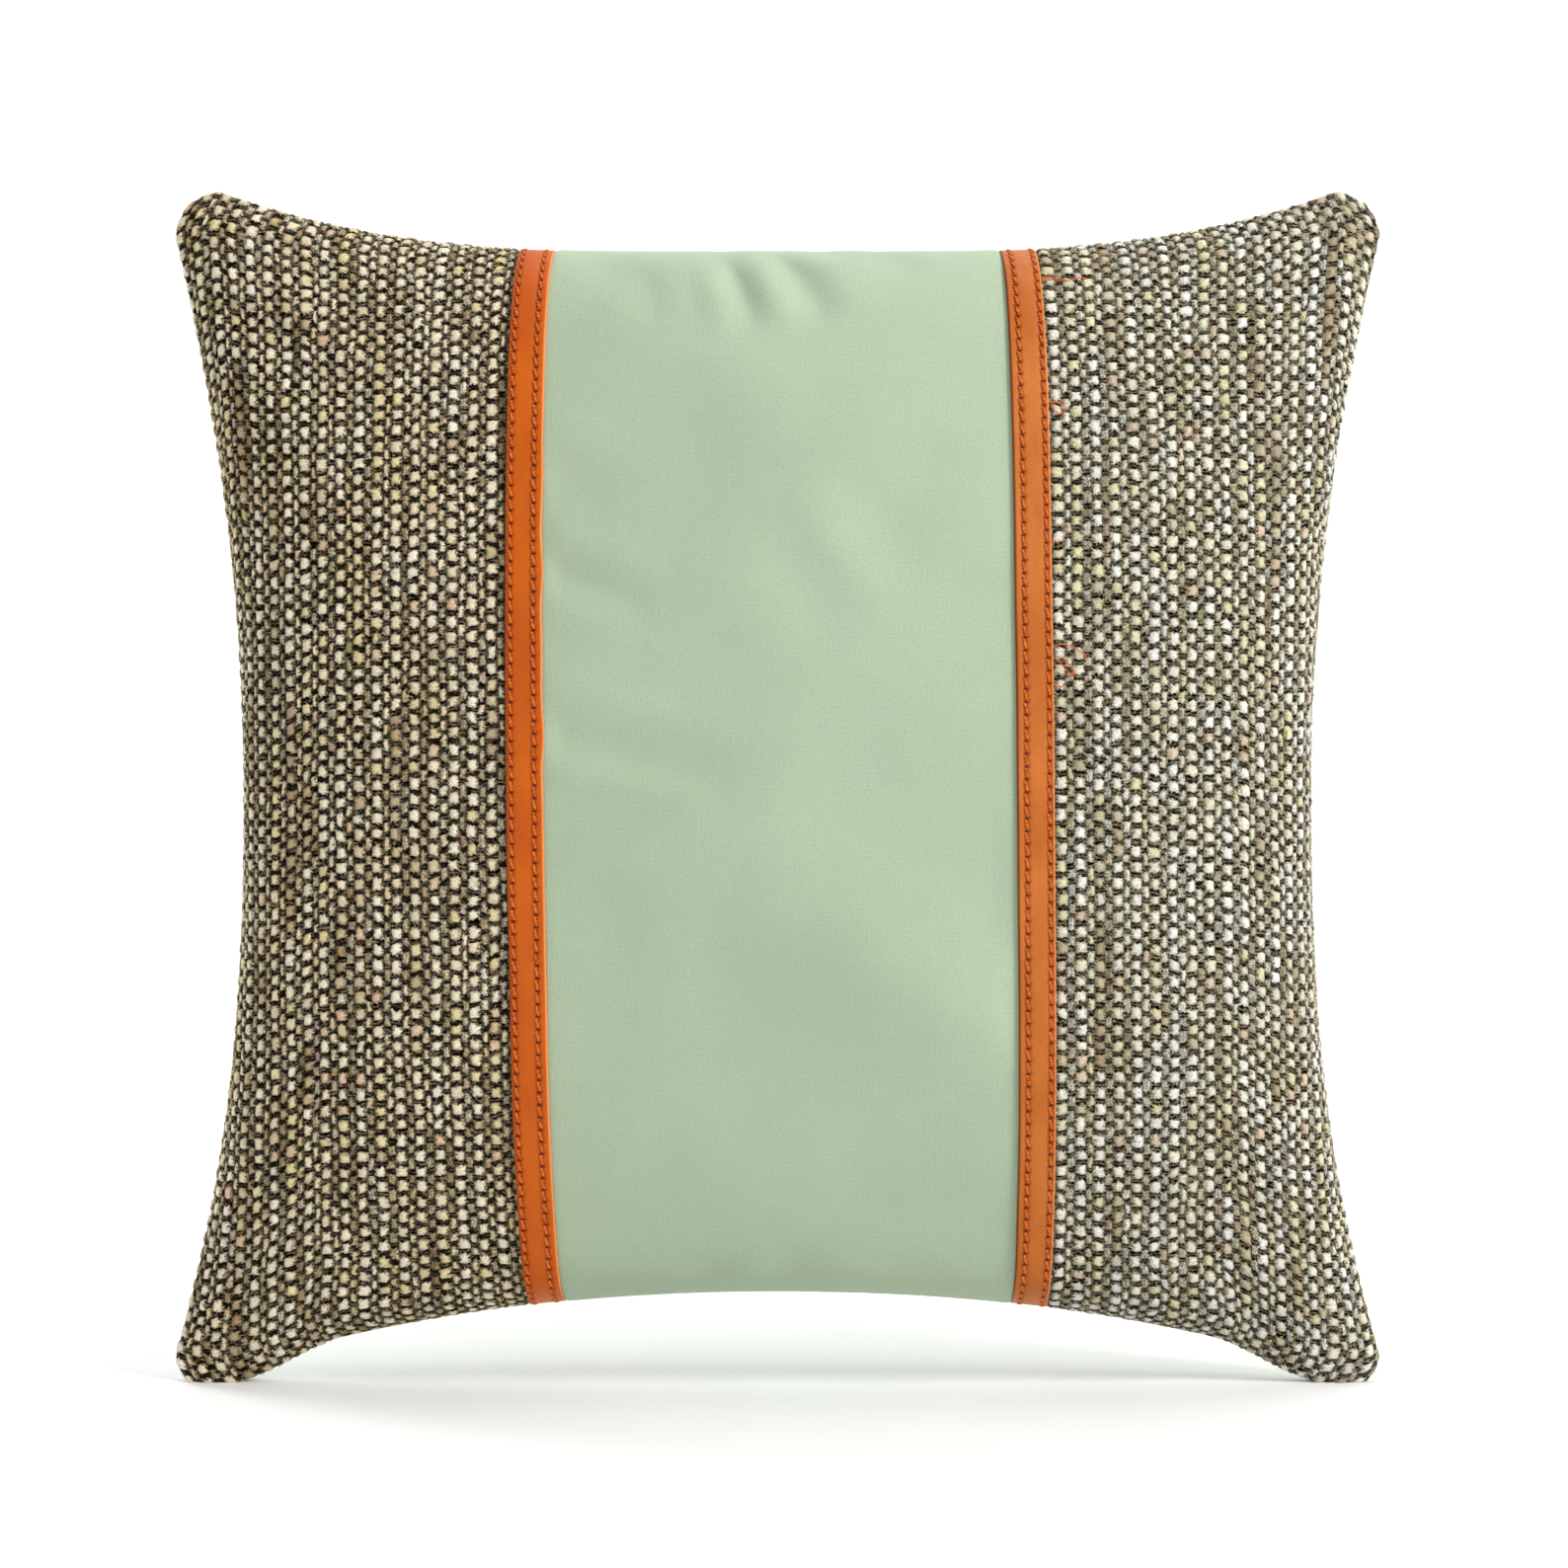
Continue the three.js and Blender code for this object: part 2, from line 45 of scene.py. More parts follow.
# ---------------------------------------------------------------- the pillow's form

# u and v run over the cover from -1 to 1, from the left seam to the right and from the bottom one to the top.
# The numbers are the frame's, but TOP_PULL is 1.4 more and SEAM_ARCH 0.8 more, to follow the photo.
HALF_WIDTH = 222.5       # at the corners
HEIGHT = 440.0
HALF_THICKNESS = 60.0    # in the middle, inside the cloth
CLOTH_SPREAD = 0.155     # how much the yarns open in the middle, and close up beside the seams
WALL_POWER = 7           # how close to the seams they do
CROWN_POWER = 2.4        # a higher power is a flatter middle
CROWN_FULLNESS = 0.62    # a lower power is a fuller edge
SIDE_PULL = 27.6         # how far a side pulls in between its corners
TOP_PULL = 24.6
SEAM_ARCH = 36.0         # rise of the bottom seam in the middle
ZIPPER_ARCH = 35.2       # the frame's own rise, which the zipper keeps
SEAM_RADIUS = 720.0      # of the bottom seam's arc
EAR_DROP = 7.5           # the corners hang this far below that arc
EAR_START, EAR_RUN = 158.0, 40.0
EAR_INNER = 0.93         # the edges pull in over this share of their length
SIDE_CURVE, LOWER_SIDE_CURVE, TOP_CURVE = 1.9, 2.3, 3.3
CORNER_ROUND = 0.92      # the corners are rounded from this share of the half width on
SEAM_GAP = 0.4           # half the gap between front and back at a plain seam
FABRIC = 1.6
PANEL_GAP = 0.3          # between a tweed panel's edge and the joint's middle line
STRIP_PLACE = 88.0       # distance of a strip from the middle, at the top
STRIP_LEAN = 4.0         # both strips drift this far to the right on their way down
STRIP_WIDTH = 13.0
ZIP_HALF = 160.0         # half length of the zipper's opening
ZIP_TAPER = 14.0         # length over which it changes to a plain seam
LIP = 4.3                # half the gap at the zipper
LIP_FADE = 40.0          # height over which that gap closes
COIL_HALF, TAPE_HALF = 146.5, 150.0
STOP_LENGTH, STOP_GAP = 3.5, 0.4
CUT = 457.0              # side of the flat cover, seam to seam

FRONT, BACK = -1, 1


def lerp(a, b, t):
    return a + (b - a) * t


def smooth(t):
    s = np.clip(t, 0.0, 1.0)
    return s * s * (3 - 2 * s)


def link(name, data):
    """A new object in the scene."""
    made = bpy.data.objects.new(name, data)
    bpy.context.scene.collection.objects.link(made)
    return made


def pulled_in(t, curve):
    return 1 - np.minimum(np.abs(t) / EAR_INNER, 1) ** curve


def bottom_seam(x):
    arc = SEAM_ARCH - (SEAM_RADIUS - np.sqrt(SEAM_RADIUS ** 2 - x * x))
    return arc - EAR_DROP * smooth((np.abs(x) - EAR_START) / EAR_RUN)


def top_seam(x):
    return HEIGHT - TOP_PULL * pulled_in(x / HALF_WIDTH, TOP_CURVE)


def foreshortened(t, share):
    """Where the cloth at t is seen from the front: its yarns close up towards the seams."""
    spread = CLOTH_SPREAD * share
    return np.sign(t) * (np.abs(t) * (1 + spread) - spread * np.abs(t) ** WALL_POWER)


def round_corner(u, v):
    a = np.clip((np.abs(u) - CORNER_ROUND) / (1 - CORNER_ROUND), 0, 1)
    b = np.clip((np.abs(v) - CORNER_ROUND) / (1 - CORNER_ROUND), 0, 1)
    corner = (a > 0) & (b > 0)
    s = CORNER_ROUND + a * np.sqrt(1 - b * b / 2) * (1 - CORNER_ROUND)
    t = CORNER_ROUND + b * np.sqrt(1 - a * a / 2) * (1 - CORNER_ROUND)
    return np.where(corner, np.sign(u) * s, u), np.where(corner, np.sign(v) * t, v)


def outline(u, v):
    s, t = round_corner(u, v)
    side_pulled = pulled_in(t, np.where(t < 0, LOWER_SIDE_CURVE, SIDE_CURVE))
    x = (HALF_WIDTH - SIDE_PULL * side_pulled) * foreshortened(s, side_pulled)
    across = HALF_WIDTH * s
    up = (foreshortened(t, pulled_in(s, SIDE_CURVE)) + 1) / 2
    return x, lerp(bottom_seam(across), top_seam(across), up)


def crown_share(t):
    return (1 - np.minimum(np.abs(t), 1) ** CROWN_POWER) ** CROWN_FULLNESS


def zipper_zone(x):
    return 1 - smooth((np.abs(x) - ZIP_HALF) / ZIP_TAPER)


def lip_gap(x, height):
    return SEAM_GAP + (LIP - SEAM_GAP) * zipper_zone(x) * (1 - smooth(height / LIP_FADE))


def form(u, v, side):
    """The inner face of the cover's cloth, before any creases."""
    u, v = np.broadcast_arrays(np.asarray(u, float), np.asarray(v, float))
    x, z = outline(u, v)
    depth = HALF_THICKNESS * crown_share(u) * crown_share(v) + lip_gap(x, z - bottom_seam(x))
    return np.stack([x, side * depth, z], axis=-1)


def normal_of(surface, u, v, side, step=0.001):
    s = np.clip(u, 2 * step - 1, 1 - 2 * step)
    t = np.clip(v, 2 * step - 1, 1 - 2 * step)
    along = surface(s + step, t, side) - surface(s - step, t, side)
    up = surface(s, t + step, side) - surface(s, t - step, side)
    n = -side * np.cross(along, up)
    return n / np.linalg.norm(n, axis=-1, keepdims=True)


# ---------------------------------------------------------------- noise

LATTICE = 97             # cells before the noise repeats


def noise(x, y, seed):
    """Smooth value noise from -1 to 1, one cell to a unit."""
    lattice = np.random.default_rng(seed).uniform(-1, 1, (LATTICE, LATTICE))
    x, y = np.broadcast_arrays(np.asarray(x, float), np.asarray(y, float))
    i, j = np.floor(x).astype(int), np.floor(y).astype(int)
    s, t = smooth(x - i), smooth(y - j)

    def at(a, b):
        return lattice[a % LATTICE, b % LATTICE]

    return lerp(lerp(at(i, j), at(i + 1, j), s), lerp(at(i, j + 1), at(i + 1, j + 1), s), t)


# ---------------------------------------------------------------- where cut cloth lies on the form

KNOTS = 61
FINE = 241
KNOT_PLACES = np.sin(np.pi * (np.linspace(0, 1, KNOTS) - 0.5))
FINE_PLACES = np.sin(np.pi * (np.linspace(0, 1, FINE) - 0.5))


def knot_index(t):
    return (np.arcsin(np.clip(t, -1, 1)) / np.pi + 0.5) * (KNOTS - 1)


def table_at(table, row, column):
    """Bilinear reading of a table at fractional indices."""
    i = np.clip(np.floor(row).astype(int), 0, table.shape[0] - 2)
    j = np.clip(np.floor(column).astype(int), 0, table.shape[1] - 2)
    s, t = row - i, column - j
    return lerp(lerp(table[i, j], table[i + 1, j], s), lerp(table[i, j + 1], table[i + 1, j + 1], s), t)


def arc_lengths(points):
    steps = np.linalg.norm(np.diff(points, axis=0), axis=-1)
    return np.concatenate([[0], np.cumsum(steps)])


class Lay:
    """Turns shares a and b of a cut piece, each 0 to 1 and even along the cloth, into u and v."""

    def __init__(self, side, left=lambda v: -1.0, right=lambda v: 1.0):
        even = np.linspace(0, 1, FINE)
        self.across, self.up = np.zeros((KNOTS, FINE)), np.zeros((KNOTS, FINE))
        for k, t in enumerate(KNOT_PLACES):
            u = lerp(left(t), right(t), (FINE_PLACES + 1) / 2)
            along = arc_lengths(form(u, t, side))
            self.across[k] = np.interp(even, along / along[-1], u)
            along = arc_lengths(form(t, FINE_PLACES, side))
            self.up[k] = np.interp(even, along / along[-1], FINE_PLACES)

    def __call__(self, a, b):
        a, b = np.broadcast_arrays(np.asarray(a, float), np.asarray(b, float))
        u, v = 2 * a - 1, 2 * b - 1
        for _ in range(8):
            u = table_at(self.across, knot_index(v), a * (FINE - 1))
            v = table_at(self.up, knot_index(u), b * (FINE - 1))
        return u, v


WHOLE = {side: Lay(side) for side in (FRONT, BACK)}

# ---------------------------------------------------------------- how a cloth simulation moves the cover

SIM_CELLS = 72
SIM_EVEN = np.linspace(-1, 1, SIM_CELLS + 1)
SIM_PLACES = lerp(SIM_EVEN, np.sin(np.pi * SIM_EVEN / 2), 0.5)
SIM_FRAMES = 26
SIM_CUT = 455.0          # side of the flat cut
SIM_JITTER = 0.25        # start of the creases, off the form
SIM_START_GAP = 40.0     # the flat cuts of the front and back lie this far from the seam plane
MOVE_CAP = 7.0           # the cloth moves at most this far from the form
LOW_SHARE = 0.85         # share of the simulation's broad swelling that is taken out again


def even_shares(side):
    """The shares a and b of the simulation's nodes."""
    u, v = np.meshgrid(SIM_PLACES, SIM_PLACES)
    a, b = np.zeros_like(u), np.zeros_like(v)
    for k, t in enumerate(SIM_PLACES):
        along = arc_lengths(form(FINE_PLACES, t, side))
        a[k] = np.interp(SIM_PLACES, FINE_PLACES, along / along[-1])
        along = arc_lengths(form(t, FINE_PLACES, side))
        b[:, k] = np.interp(SIM_PLACES, FINE_PLACES, along / along[-1])
    return u, v, a, b


def blurred(grid, radius):
    for axis in (0, 1):
        for _ in range(radius):
            pad = [(1, 1) if k == axis else (0, 0) for k in range(3)]
            wide = np.pad(grid, pad, mode="edge")
            grid = (np.take(wide, range(0, grid.shape[axis]), axis)
                    + 2 * np.take(wide, range(1, grid.shape[axis] + 1), axis)
                    + np.take(wide, range(2, grid.shape[axis] + 2), axis)) / 4
    return grid


def grid_quads(node):
    """The quads between the nodes of a grid of vertex numbers."""
    return np.stack([node[:-1, :-1], node[:-1, 1:], node[1:, 1:], node[1:, :-1]], axis=-1).reshape(-1, 4)


def simulated_moves():
    """How far each node of the cloth moves when the flat cut is blown up to the pillow's form."""
    count = SIM_CELLS + 1
    starts, flats, faces, borders = [], [], [], []
    for side in (FRONT, BACK):
        u, v, a, b = even_shares(side)
        first = len(starts) * count * count
        start = form(u, v, side)
        jitter = SIM_JITTER * noise(a * 40, b * 40, 5 + side)[..., None] * normal_of(form, u, v, side)
        border = (np.abs(u) > 0.999999) | (np.abs(v) > 0.999999)
        start = np.where(border[..., None], start, start + jitter)
        starts.append(start)
        level = np.full_like(a, side * SIM_START_GAP)
        flats.append(np.stack([(a - 0.5) * SIM_CUT, level, b * SIM_CUT], axis=-1))
        borders += [first + int(k) for k in np.flatnonzero(border)]
        node = first + np.arange(count * count).reshape(count, count)
        quads = grid_quads(node)
        faces.append(quads if side == FRONT else quads[:, ::-1])
    start = np.concatenate([s.reshape(-1, 3) for s in starts]) * MM
    flat = np.concatenate([s.reshape(-1, 3) for s in flats]) * MM
    mesh = bpy.data.meshes.new("cover_simulation")
    mesh.from_pydata(start.tolist(), [], np.concatenate(faces).tolist())
    body = link("cover_simulation", mesh)
    body.shape_key_add(name="Basis")
    cut = body.shape_key_add(name="cut")
    cut.data.foreach_set("co", flat.ravel())
    cut.value = 0.0
    body.vertex_groups.new(name="seams").add(borders, 1.0, "REPLACE")
    cloth = body.modifiers.new("Cloth", "CLOTH")
    settings = cloth.settings
    settings.quality = 6
    settings.mass = 0.25
    settings.tension_stiffness = 40
    settings.compression_stiffness = 12
    settings.shear_stiffness = 6
    settings.bending_stiffness = 1.2
    settings.air_damping = 2
    settings.use_pressure = True
    settings.uniform_pressure_force = 1.0
    settings.effector_weights.gravity = 0
    settings.vertex_group_mass = "seams"
    settings.pin_stiffness = 10
    settings.rest_shape_key = cut
    cloth.collision_settings.use_self_collision = False
    cloth.point_cache.frame_start = 1
    cloth.point_cache.frame_end = SIM_FRAMES
    scene = bpy.context.scene
    for step in range(1, SIM_FRAMES + 1):
        scene.frame_set(step)
    shaped = body.evaluated_get(bpy.context.evaluated_depsgraph_get())
    end = np.empty(len(start) * 3)
    shaped.data.vertices.foreach_get("co", end)
    moves = (end.reshape(-1, 3) - start) / MM
    bpy.data.objects.remove(body)
    bpy.data.meshes.remove(mesh)
    scene.frame_set(1)
    result = {}
    for side, move in zip((FRONT, BACK), moves.reshape(2, count, count, 3)):
        move = blurred(move, 1) - LOW_SHARE * blurred(move, 60)
        size = np.linalg.norm(move, axis=-1, keepdims=True)
        move = move * (MOVE_CAP * np.tanh(size / MOVE_CAP) / np.maximum(size, 1e-9))
        u, v = np.meshgrid(SIM_PLACES, SIM_PLACES)
        seam = 1 - np.maximum(np.abs(u), np.abs(v))
        result[side] = move * smooth(seam / 0.02)[..., None]
    return result


MOVES = simulated_moves()


def cubic_weights(t):
    return [
        ((2 - t) * t - 1) * t / 2, (t * t * (3 * t - 5) + 2) / 2,
        ((4 - 3 * t) * t + 1) * t / 2, (t - 1) * t * t / 2,
    ]


def moved(u, v, side):
    if MOVES is None:
        return 0.0
    grid = MOVES[side]
    last = SIM_CELLS
    column = np.interp(u, SIM_PLACES, np.arange(last + 1))
    row = np.interp(v, SIM_PLACES, np.arange(last + 1))
    i, j = np.minimum(row.astype(int), last - 1), np.minimum(column.astype(int), last - 1)
    total = 0.0
    for p, wp in enumerate(cubic_weights(row - i)):
        for q, wq in enumerate(cubic_weights(column - j)):
            node = grid[np.clip(i + p - 1, 0, last), np.clip(j + q - 1, 0, last)]
            total = total + (wp * wq)[..., None] * node
    return total


# Folds in the cloth, each from (u, v) to (u, v), with its half width and depth; a negative depth is a ridge.
CENTRE_FOLDS = [
    ((-0.142, 0.975), (-0.118, 0.735), 0.024, 0.6),
    ((-0.096, 0.965), (-0.034, 0.725), 0.024, 2.5),
    ((-0.010, 0.950), (0.082, 0.735), 0.030, 2.3),
    ((0.050, 0.985), (0.110, 0.900), 0.026, 1.7),
    ((0.146, 0.965), (0.230, 0.850), 0.030, 1.0),
    ((-0.225, 0.900), (-0.185, 0.740), 0.030, 0.9),
    ((-0.300, 0.955), (-0.250, 0.800), 0.030, 0.8),
    ((-0.400, 0.345), (-0.190, 0.270), 0.028, 1.7),
    ((-0.380, 0.500), (-0.250, 0.440), 0.036, 0.9),
    ((-0.400, 0.080), (-0.060, -0.010), 0.034, 1.8),
    ((-0.400, 0.020), (-0.080, -0.050), 0.016, -0.5),
    ((-0.310, -0.170), (-0.200, -0.260), 0.050, 0.7),
    ((-0.200, 0.640), (-0.080, 0.420), 0.065, 0.8),
    ((0.035, 0.440), (0.180, 0.235), 0.040, -0.9),
    ((0.250, 0.520), (0.120, 0.330), 0.060, 0.8),
    ((-0.020, -0.220), (0.400, -0.430), 0.095, -3.0),
    ((0.005, -0.955), (0.040, -0.800), 0.034, 1.5),
    ((-0.120, -0.960), (-0.100, -0.840), 0.030, 0.9),
    ((0.200, -0.950), (0.230, -0.820), 0.040, 0.8),
]
BACK_FOLDS = [
    ((-0.420, 0.970), (-0.330, 0.720), 0.026, 2.0),
    ((-0.180, 0.965), (-0.150, 0.780), 0.024, 1.5),
    ((0.060, 0.970), (0.010, 0.740), 0.026, 2.3),
    ((0.300, 0.965), (0.230, 0.760), 0.026, 1.8),
    ((0.520, 0.960), (0.440, 0.780), 0.028, 1.4),
    ((-0.880, 0.280), (-0.680, 0.230), 0.028, 1.6),
    ((-0.880, -0.120), (-0.640, -0.090), 0.030, 1.8),
    ((0.880, 0.160), (0.660, 0.120), 0.028, 1.7),
    ((0.880, -0.300), (0.650, -0.240), 0.030, 1.5),
    ((-0.480, -0.950), (-0.400, -0.720), 0.030, 1.8),
    ((-0.090, -0.950), (-0.120, -0.740), 0.028, 1.4),
    ((0.240, -0.950), (0.200, -0.700), 0.030, 1.9),
    ((0.580, -0.950), (0.480, -0.760), 0.028, 1.3),
    ((-0.300, 0.360), (0.260, 0.160), 0.085, -1.6),
    ((0.420, 0.480), (0.120, -0.060), 0.070, 1.3),
    ((-0.500, -0.120), (-0.060, -0.420), 0.080, 1.4),
]
BACK_CREASING = 1.9      # the back's folds are this much deeper than listed
# Pulls from the corners, for one corner; the others mirror them.
CORNER_FOLDS = [
    ((0.900, 0.800), (0.640, 0.600), 0.030, 1.3),
    ((0.790, 0.900), (0.560, 0.680), 0.030, 1.1),
]
FOLD_RIDGE = 0.45        # height of the ridges beside a fold, as a share of its depth
FOLD_RIDGE_PLACE = 2.1   # and their distance from its middle, in half widths
SLACK = 0.55             # depth of the broad unevenness of filled cloth


def fold_depth(u, v, folds):
    """Depth of the folds, each a groove with a lower ridge along its sides."""
    total = 0.0
    for (u0, v0), (u1, v1), width, depth in folds:
        along = np.array([u1 - u0, v1 - v0])
        t = ((u - u0) * along[0] + (v - v0) * along[1]) / (along @ along)
        near = np.clip(t, 0, 1)
        off = np.hypot(u - u0 - near * along[0], v - v0 - near * along[1])
        fade = np.sin(np.pi * np.clip(0.12 + 0.88 * t, 0, 1)) ** 0.8
        groove = np.exp(-(off / width) ** 2)
        ridge = FOLD_RIDGE * np.exp(-((off - FOLD_RIDGE_PLACE * width) / width) ** 2)
        total = total + depth * fade * (groove - ridge)
    return total


def slack(u, v, side):
    """Broad soft unevenness, less towards the seams."""
    open_cloth = smooth((1 - np.maximum(np.abs(u), np.abs(v))) / 0.25)
    large = noise(u * 5 + 0.7 * v, v * 4 - 0.9 * u, 31 + side)
    small = noise(u * 9 - 2 * v, v * 8 + 3 * u, 34 + side)
    return SLACK * open_cloth * (large + 0.55 * small)


def surface(u, v, side):
    """The inner face of the cover's cloth with its creases."""
    point = form(u, v, side) + moved(u, v, side)
    point[..., 1] += slack(u, v, side)
    into = fold_depth(np.abs(u), np.abs(v), CORNER_FOLDS)
    if side == FRONT:
        centre_panel = 1 - smooth((np.abs(u) - 0.33) / 0.05)
        into = into + centre_panel * fold_depth(u, v, CENTRE_FOLDS)
    else:
        into = into + BACK_CREASING * fold_depth(u, v, BACK_FOLDS)
    point[..., 1] -= side * into
    return point


SEAM_ROUND = 2.6         # the cloth turns in over this distance beside a seam
SEAM_LIFT = 0.3
LIP_THIN = 0.55          # share of its thickness that the cloth keeps where it folds over at the zipper


def from_end(u, v, side):
    """Distance to the top or bottom seam, whichever is nearer."""
    return np.linalg.norm(form(u, v, side) - form(u, np.where(v < 0, -1, 1), side), axis=-1)


def seam_distance(u, v, side):
    from_side = np.linalg.norm(form(u, v, side) - form(np.where(u < 0, -1, 1), v, side), axis=-1)
    return np.minimum(from_side, from_end(u, v, side))


def rounding(u, v, side):
    """1 over the open cloth, falling to a thin edge at a seam, but not at the zipper's lips."""
    near = np.clip(1 - seam_distance(u, v, side) / SEAM_ROUND, 0, 1)
    thin = lerp(SEAM_LIFT / FABRIC, 1, np.sqrt(1 - near ** 2))
    x, z = outline(u, v)
    lip = zipper_zone(x) * (1 - smooth((z - bottom_seam(x)) / 12))
    return lerp(thin, LIP_THIN, lip)


def cover_point(u, v, side, lift):
    point = surface(u, v, side) + normal_of(surface, u, v, side) * np.asarray(lift)[..., None]
    point[..., 2] = np.maximum(point[..., 2], 0)
    return point


def strip_middle(sign, v):
    return (sign * STRIP_PLACE + STRIP_LEAN * ((1 - v) / 2) ** 2) / HALF_WIDTH


# A strip and the cloth under it are pressed thin at the seams: the shares of their thickness that they keep
# there, and how far from the seam they are back to all of it.
TOP_PRESSED, BOTTOM_PRESSED = 0.34, 0.25
STRIP_PRESS_RUN = 38.0


def strip_press(u, v):
    pressed = np.where(v < 0, BOTTOM_PRESSED, TOP_PRESSED)
    return lerp(pressed, 1, smooth(from_end(u, v, FRONT) / STRIP_PRESS_RUN))


def under_strip(u, v):
    """The share of a front panel's thickness that is left under and beside a strip."""
    beyond = np.minimum(np.abs(u - strip_middle(-1, v)), np.abs(u - strip_middle(1, v))) * HALF_WIDTH
    covered = 1 - smooth((beyond - STRIP_WIDTH / 2) / 1.5)
    return lerp(1, strip_press(u, v), covered)


# ---------------------------------------------------------------- meshes

def mesh_object(name, points, faces, uv=None, attributes=(), smooth_faces=True):
    """points in millimetres; faces is a list of arrays of corner indices, one array for each corner count."""
    points = np.asarray(points, float).reshape(-1, 3) * MM
    corners = np.concatenate([f.ravel() for f in faces])
    totals = np.concatenate([np.full(len(f), f.shape[1]) for f in faces])
    mesh = bpy.data.meshes.new(name)
    mesh.vertices.add(len(points))
    mesh.vertices.foreach_set("co", points.ravel())
    mesh.loops.add(len(corners))
    mesh.loops.foreach_set("vertex_index", corners)
    mesh.polygons.add(len(totals))
    mesh.polygons.foreach_set("loop_start", np.concatenate([[0], np.cumsum(totals)[:-1]]))
    mesh.update(calc_edges=True)
    mesh.polygons.foreach_set("use_smooth", np.full(len(totals), smooth_faces))
    if uv is not None:
        layer = mesh.uv_layers.new(name="cloth")
        layer.data.foreach_set("uv", np.asarray(uv, float).reshape(-1, 2)[corners].ravel())
    for key, values in attributes:
        values = np.asarray(values, float)
        if values.ndim == 1:
            mesh.attributes.new(key, "FLOAT", "POINT").data.foreach_set("value", values)
        else:
            colour = np.concatenate([values, np.ones((len(values), 1))], axis=1)
            mesh.attributes.new(key, "FLOAT_COLOR", "POINT").data.foreach_set("color", colour.ravel())
    mesh.validate()
    return link(f"{name}_piece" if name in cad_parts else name, mesh)


def slab(name, outer, inner, step=1, uv=None, attributes=(), facing=1):
    """The closed solid between two sheets of points; inner has every step-th point of outer's grid."""
    rows, columns = outer.shape[:2]
    node = np.arange(rows * columns).reshape(rows, columns)
    under = rows * columns + np.arange(inner.shape[0] * inner.shape[1]).reshape(inner.shape[:2])
    rims = []
    for edge, low in ((node[0], under[0]), (node[-1, ::-1], under[-1, ::-1]),
                      (node[::-1, 0], under[::-1, 0]), (node[:, -1], under[:, -1])):
        for k in range(len(low) - 1):
            rims.append([low[k], low[k + 1], *edge[k * step:(k + 1) * step + 1][::-1]])
    faces = [grid_quads(node), grid_quads(under)[:, [0, 3, 2, 1]], np.array(rims)]
    if facing < 0:
        faces = [f[:, ::-1] for f in faces]
    points = np.concatenate([outer.reshape(-1, 3), inner.reshape(-1, 3)])
    if uv is not None:
        uv = np.concatenate([uv.reshape(-1, 2), uv[::step, ::step].reshape(-1, 2)])
    both = []
    for key, values in attributes:
        flat = values.reshape(rows * columns, -1)
        low = values[::step, ::step].reshape(under.size, -1)
        joined = np.concatenate([flat, low])
        both.append((key, joined if values.ndim == 3 else joined[:, 0]))
    return mesh_object(name, points, faces, uv, both)


def ring_faces(rings, sides):
    """The quads between rings of points, and the two end caps."""
    node = np.arange(rings * sides).reshape(rings, sides)
    right = np.roll(node, -1, axis=1)
    quads = np.stack([node[:-1], right[:-1], right[1:], node[1:]], axis=-1).reshape(-1, 4)
    return quads, np.array([node[0][::-1], node[-1]])


def tube(path, radius, sides):
    """Points, quads and caps of a tube along a path of points."""
    path = np.asarray(path, float)
    tangent = np.gradient(path, axis=0)
    tangent /= np.linalg.norm(tangent, axis=1, keepdims=True)
    across = np.cross(tangent[0], [0, 0, 1.0] if abs(tangent[0][2]) < 0.9 else [1.0, 0, 0])
    frames = []
    for t in tangent:
        across = across - t * (across @ t)
        across /= np.linalg.norm(across)
        frames.append((across, np.cross(t, across)))
    frames = np.array(frames)
    turn = np.linspace(0, 2 * np.pi, sides, endpoint=False)
    ring = np.cos(turn)[None, :, None] * frames[:, None, 0] + np.sin(turn)[None, :, None] * frames[:, None, 1]
    points = path[:, None] + radius * ring
    return points.reshape(-1, 3), *ring_faces(len(path), sides)


def tubes_object(name, tubes):
    """One object of many tubes with the same number of sides."""
    points, quads, caps, first = [], [], [], 0
    for p, q, c in tubes:
        points.append(p)
        quads.append(q + first)
        caps.append(c + first)
        first += len(p)
    faces = [np.concatenate(quads), np.concatenate(caps)]
    return mesh_object(name, np.concatenate(points), faces)


# ---------------------------------------------------------------- materials

def linear(r, g, b):
    """A linear colour from 0 to 255 sRGB values."""
    c = np.array([r, g, b]) / 255
    return np.where(c <= 0.04045, c / 12.92, ((c + 0.055) / 1.055) ** 2.4)


def rgb(r, g, b):
    return tuple(linear(r, g, b))


class Value:
    """A node's output; arithmetic on it adds Math nodes."""

    def __init__(self, owner, socket):
        self.owner, self.socket = owner, socket

    def __add__(self, other):
        return self.owner.math("ADD", self, other)

    def __sub__(self, other):
        return self.owner.math("SUBTRACT", self, other)

    def __rsub__(self, other):
        return self.owner.math("SUBTRACT", other, self)

    def __mul__(self, other):
        return self.owner.math("MULTIPLY", self, other)

    def __truediv__(self, other):
        return self.owner.math("DIVIDE", self, other)

    def __pow__(self, other):
        return self.owner.math("POWER", self, other)

    def __abs__(self):
        return self.owner.math("ABSOLUTE", self)


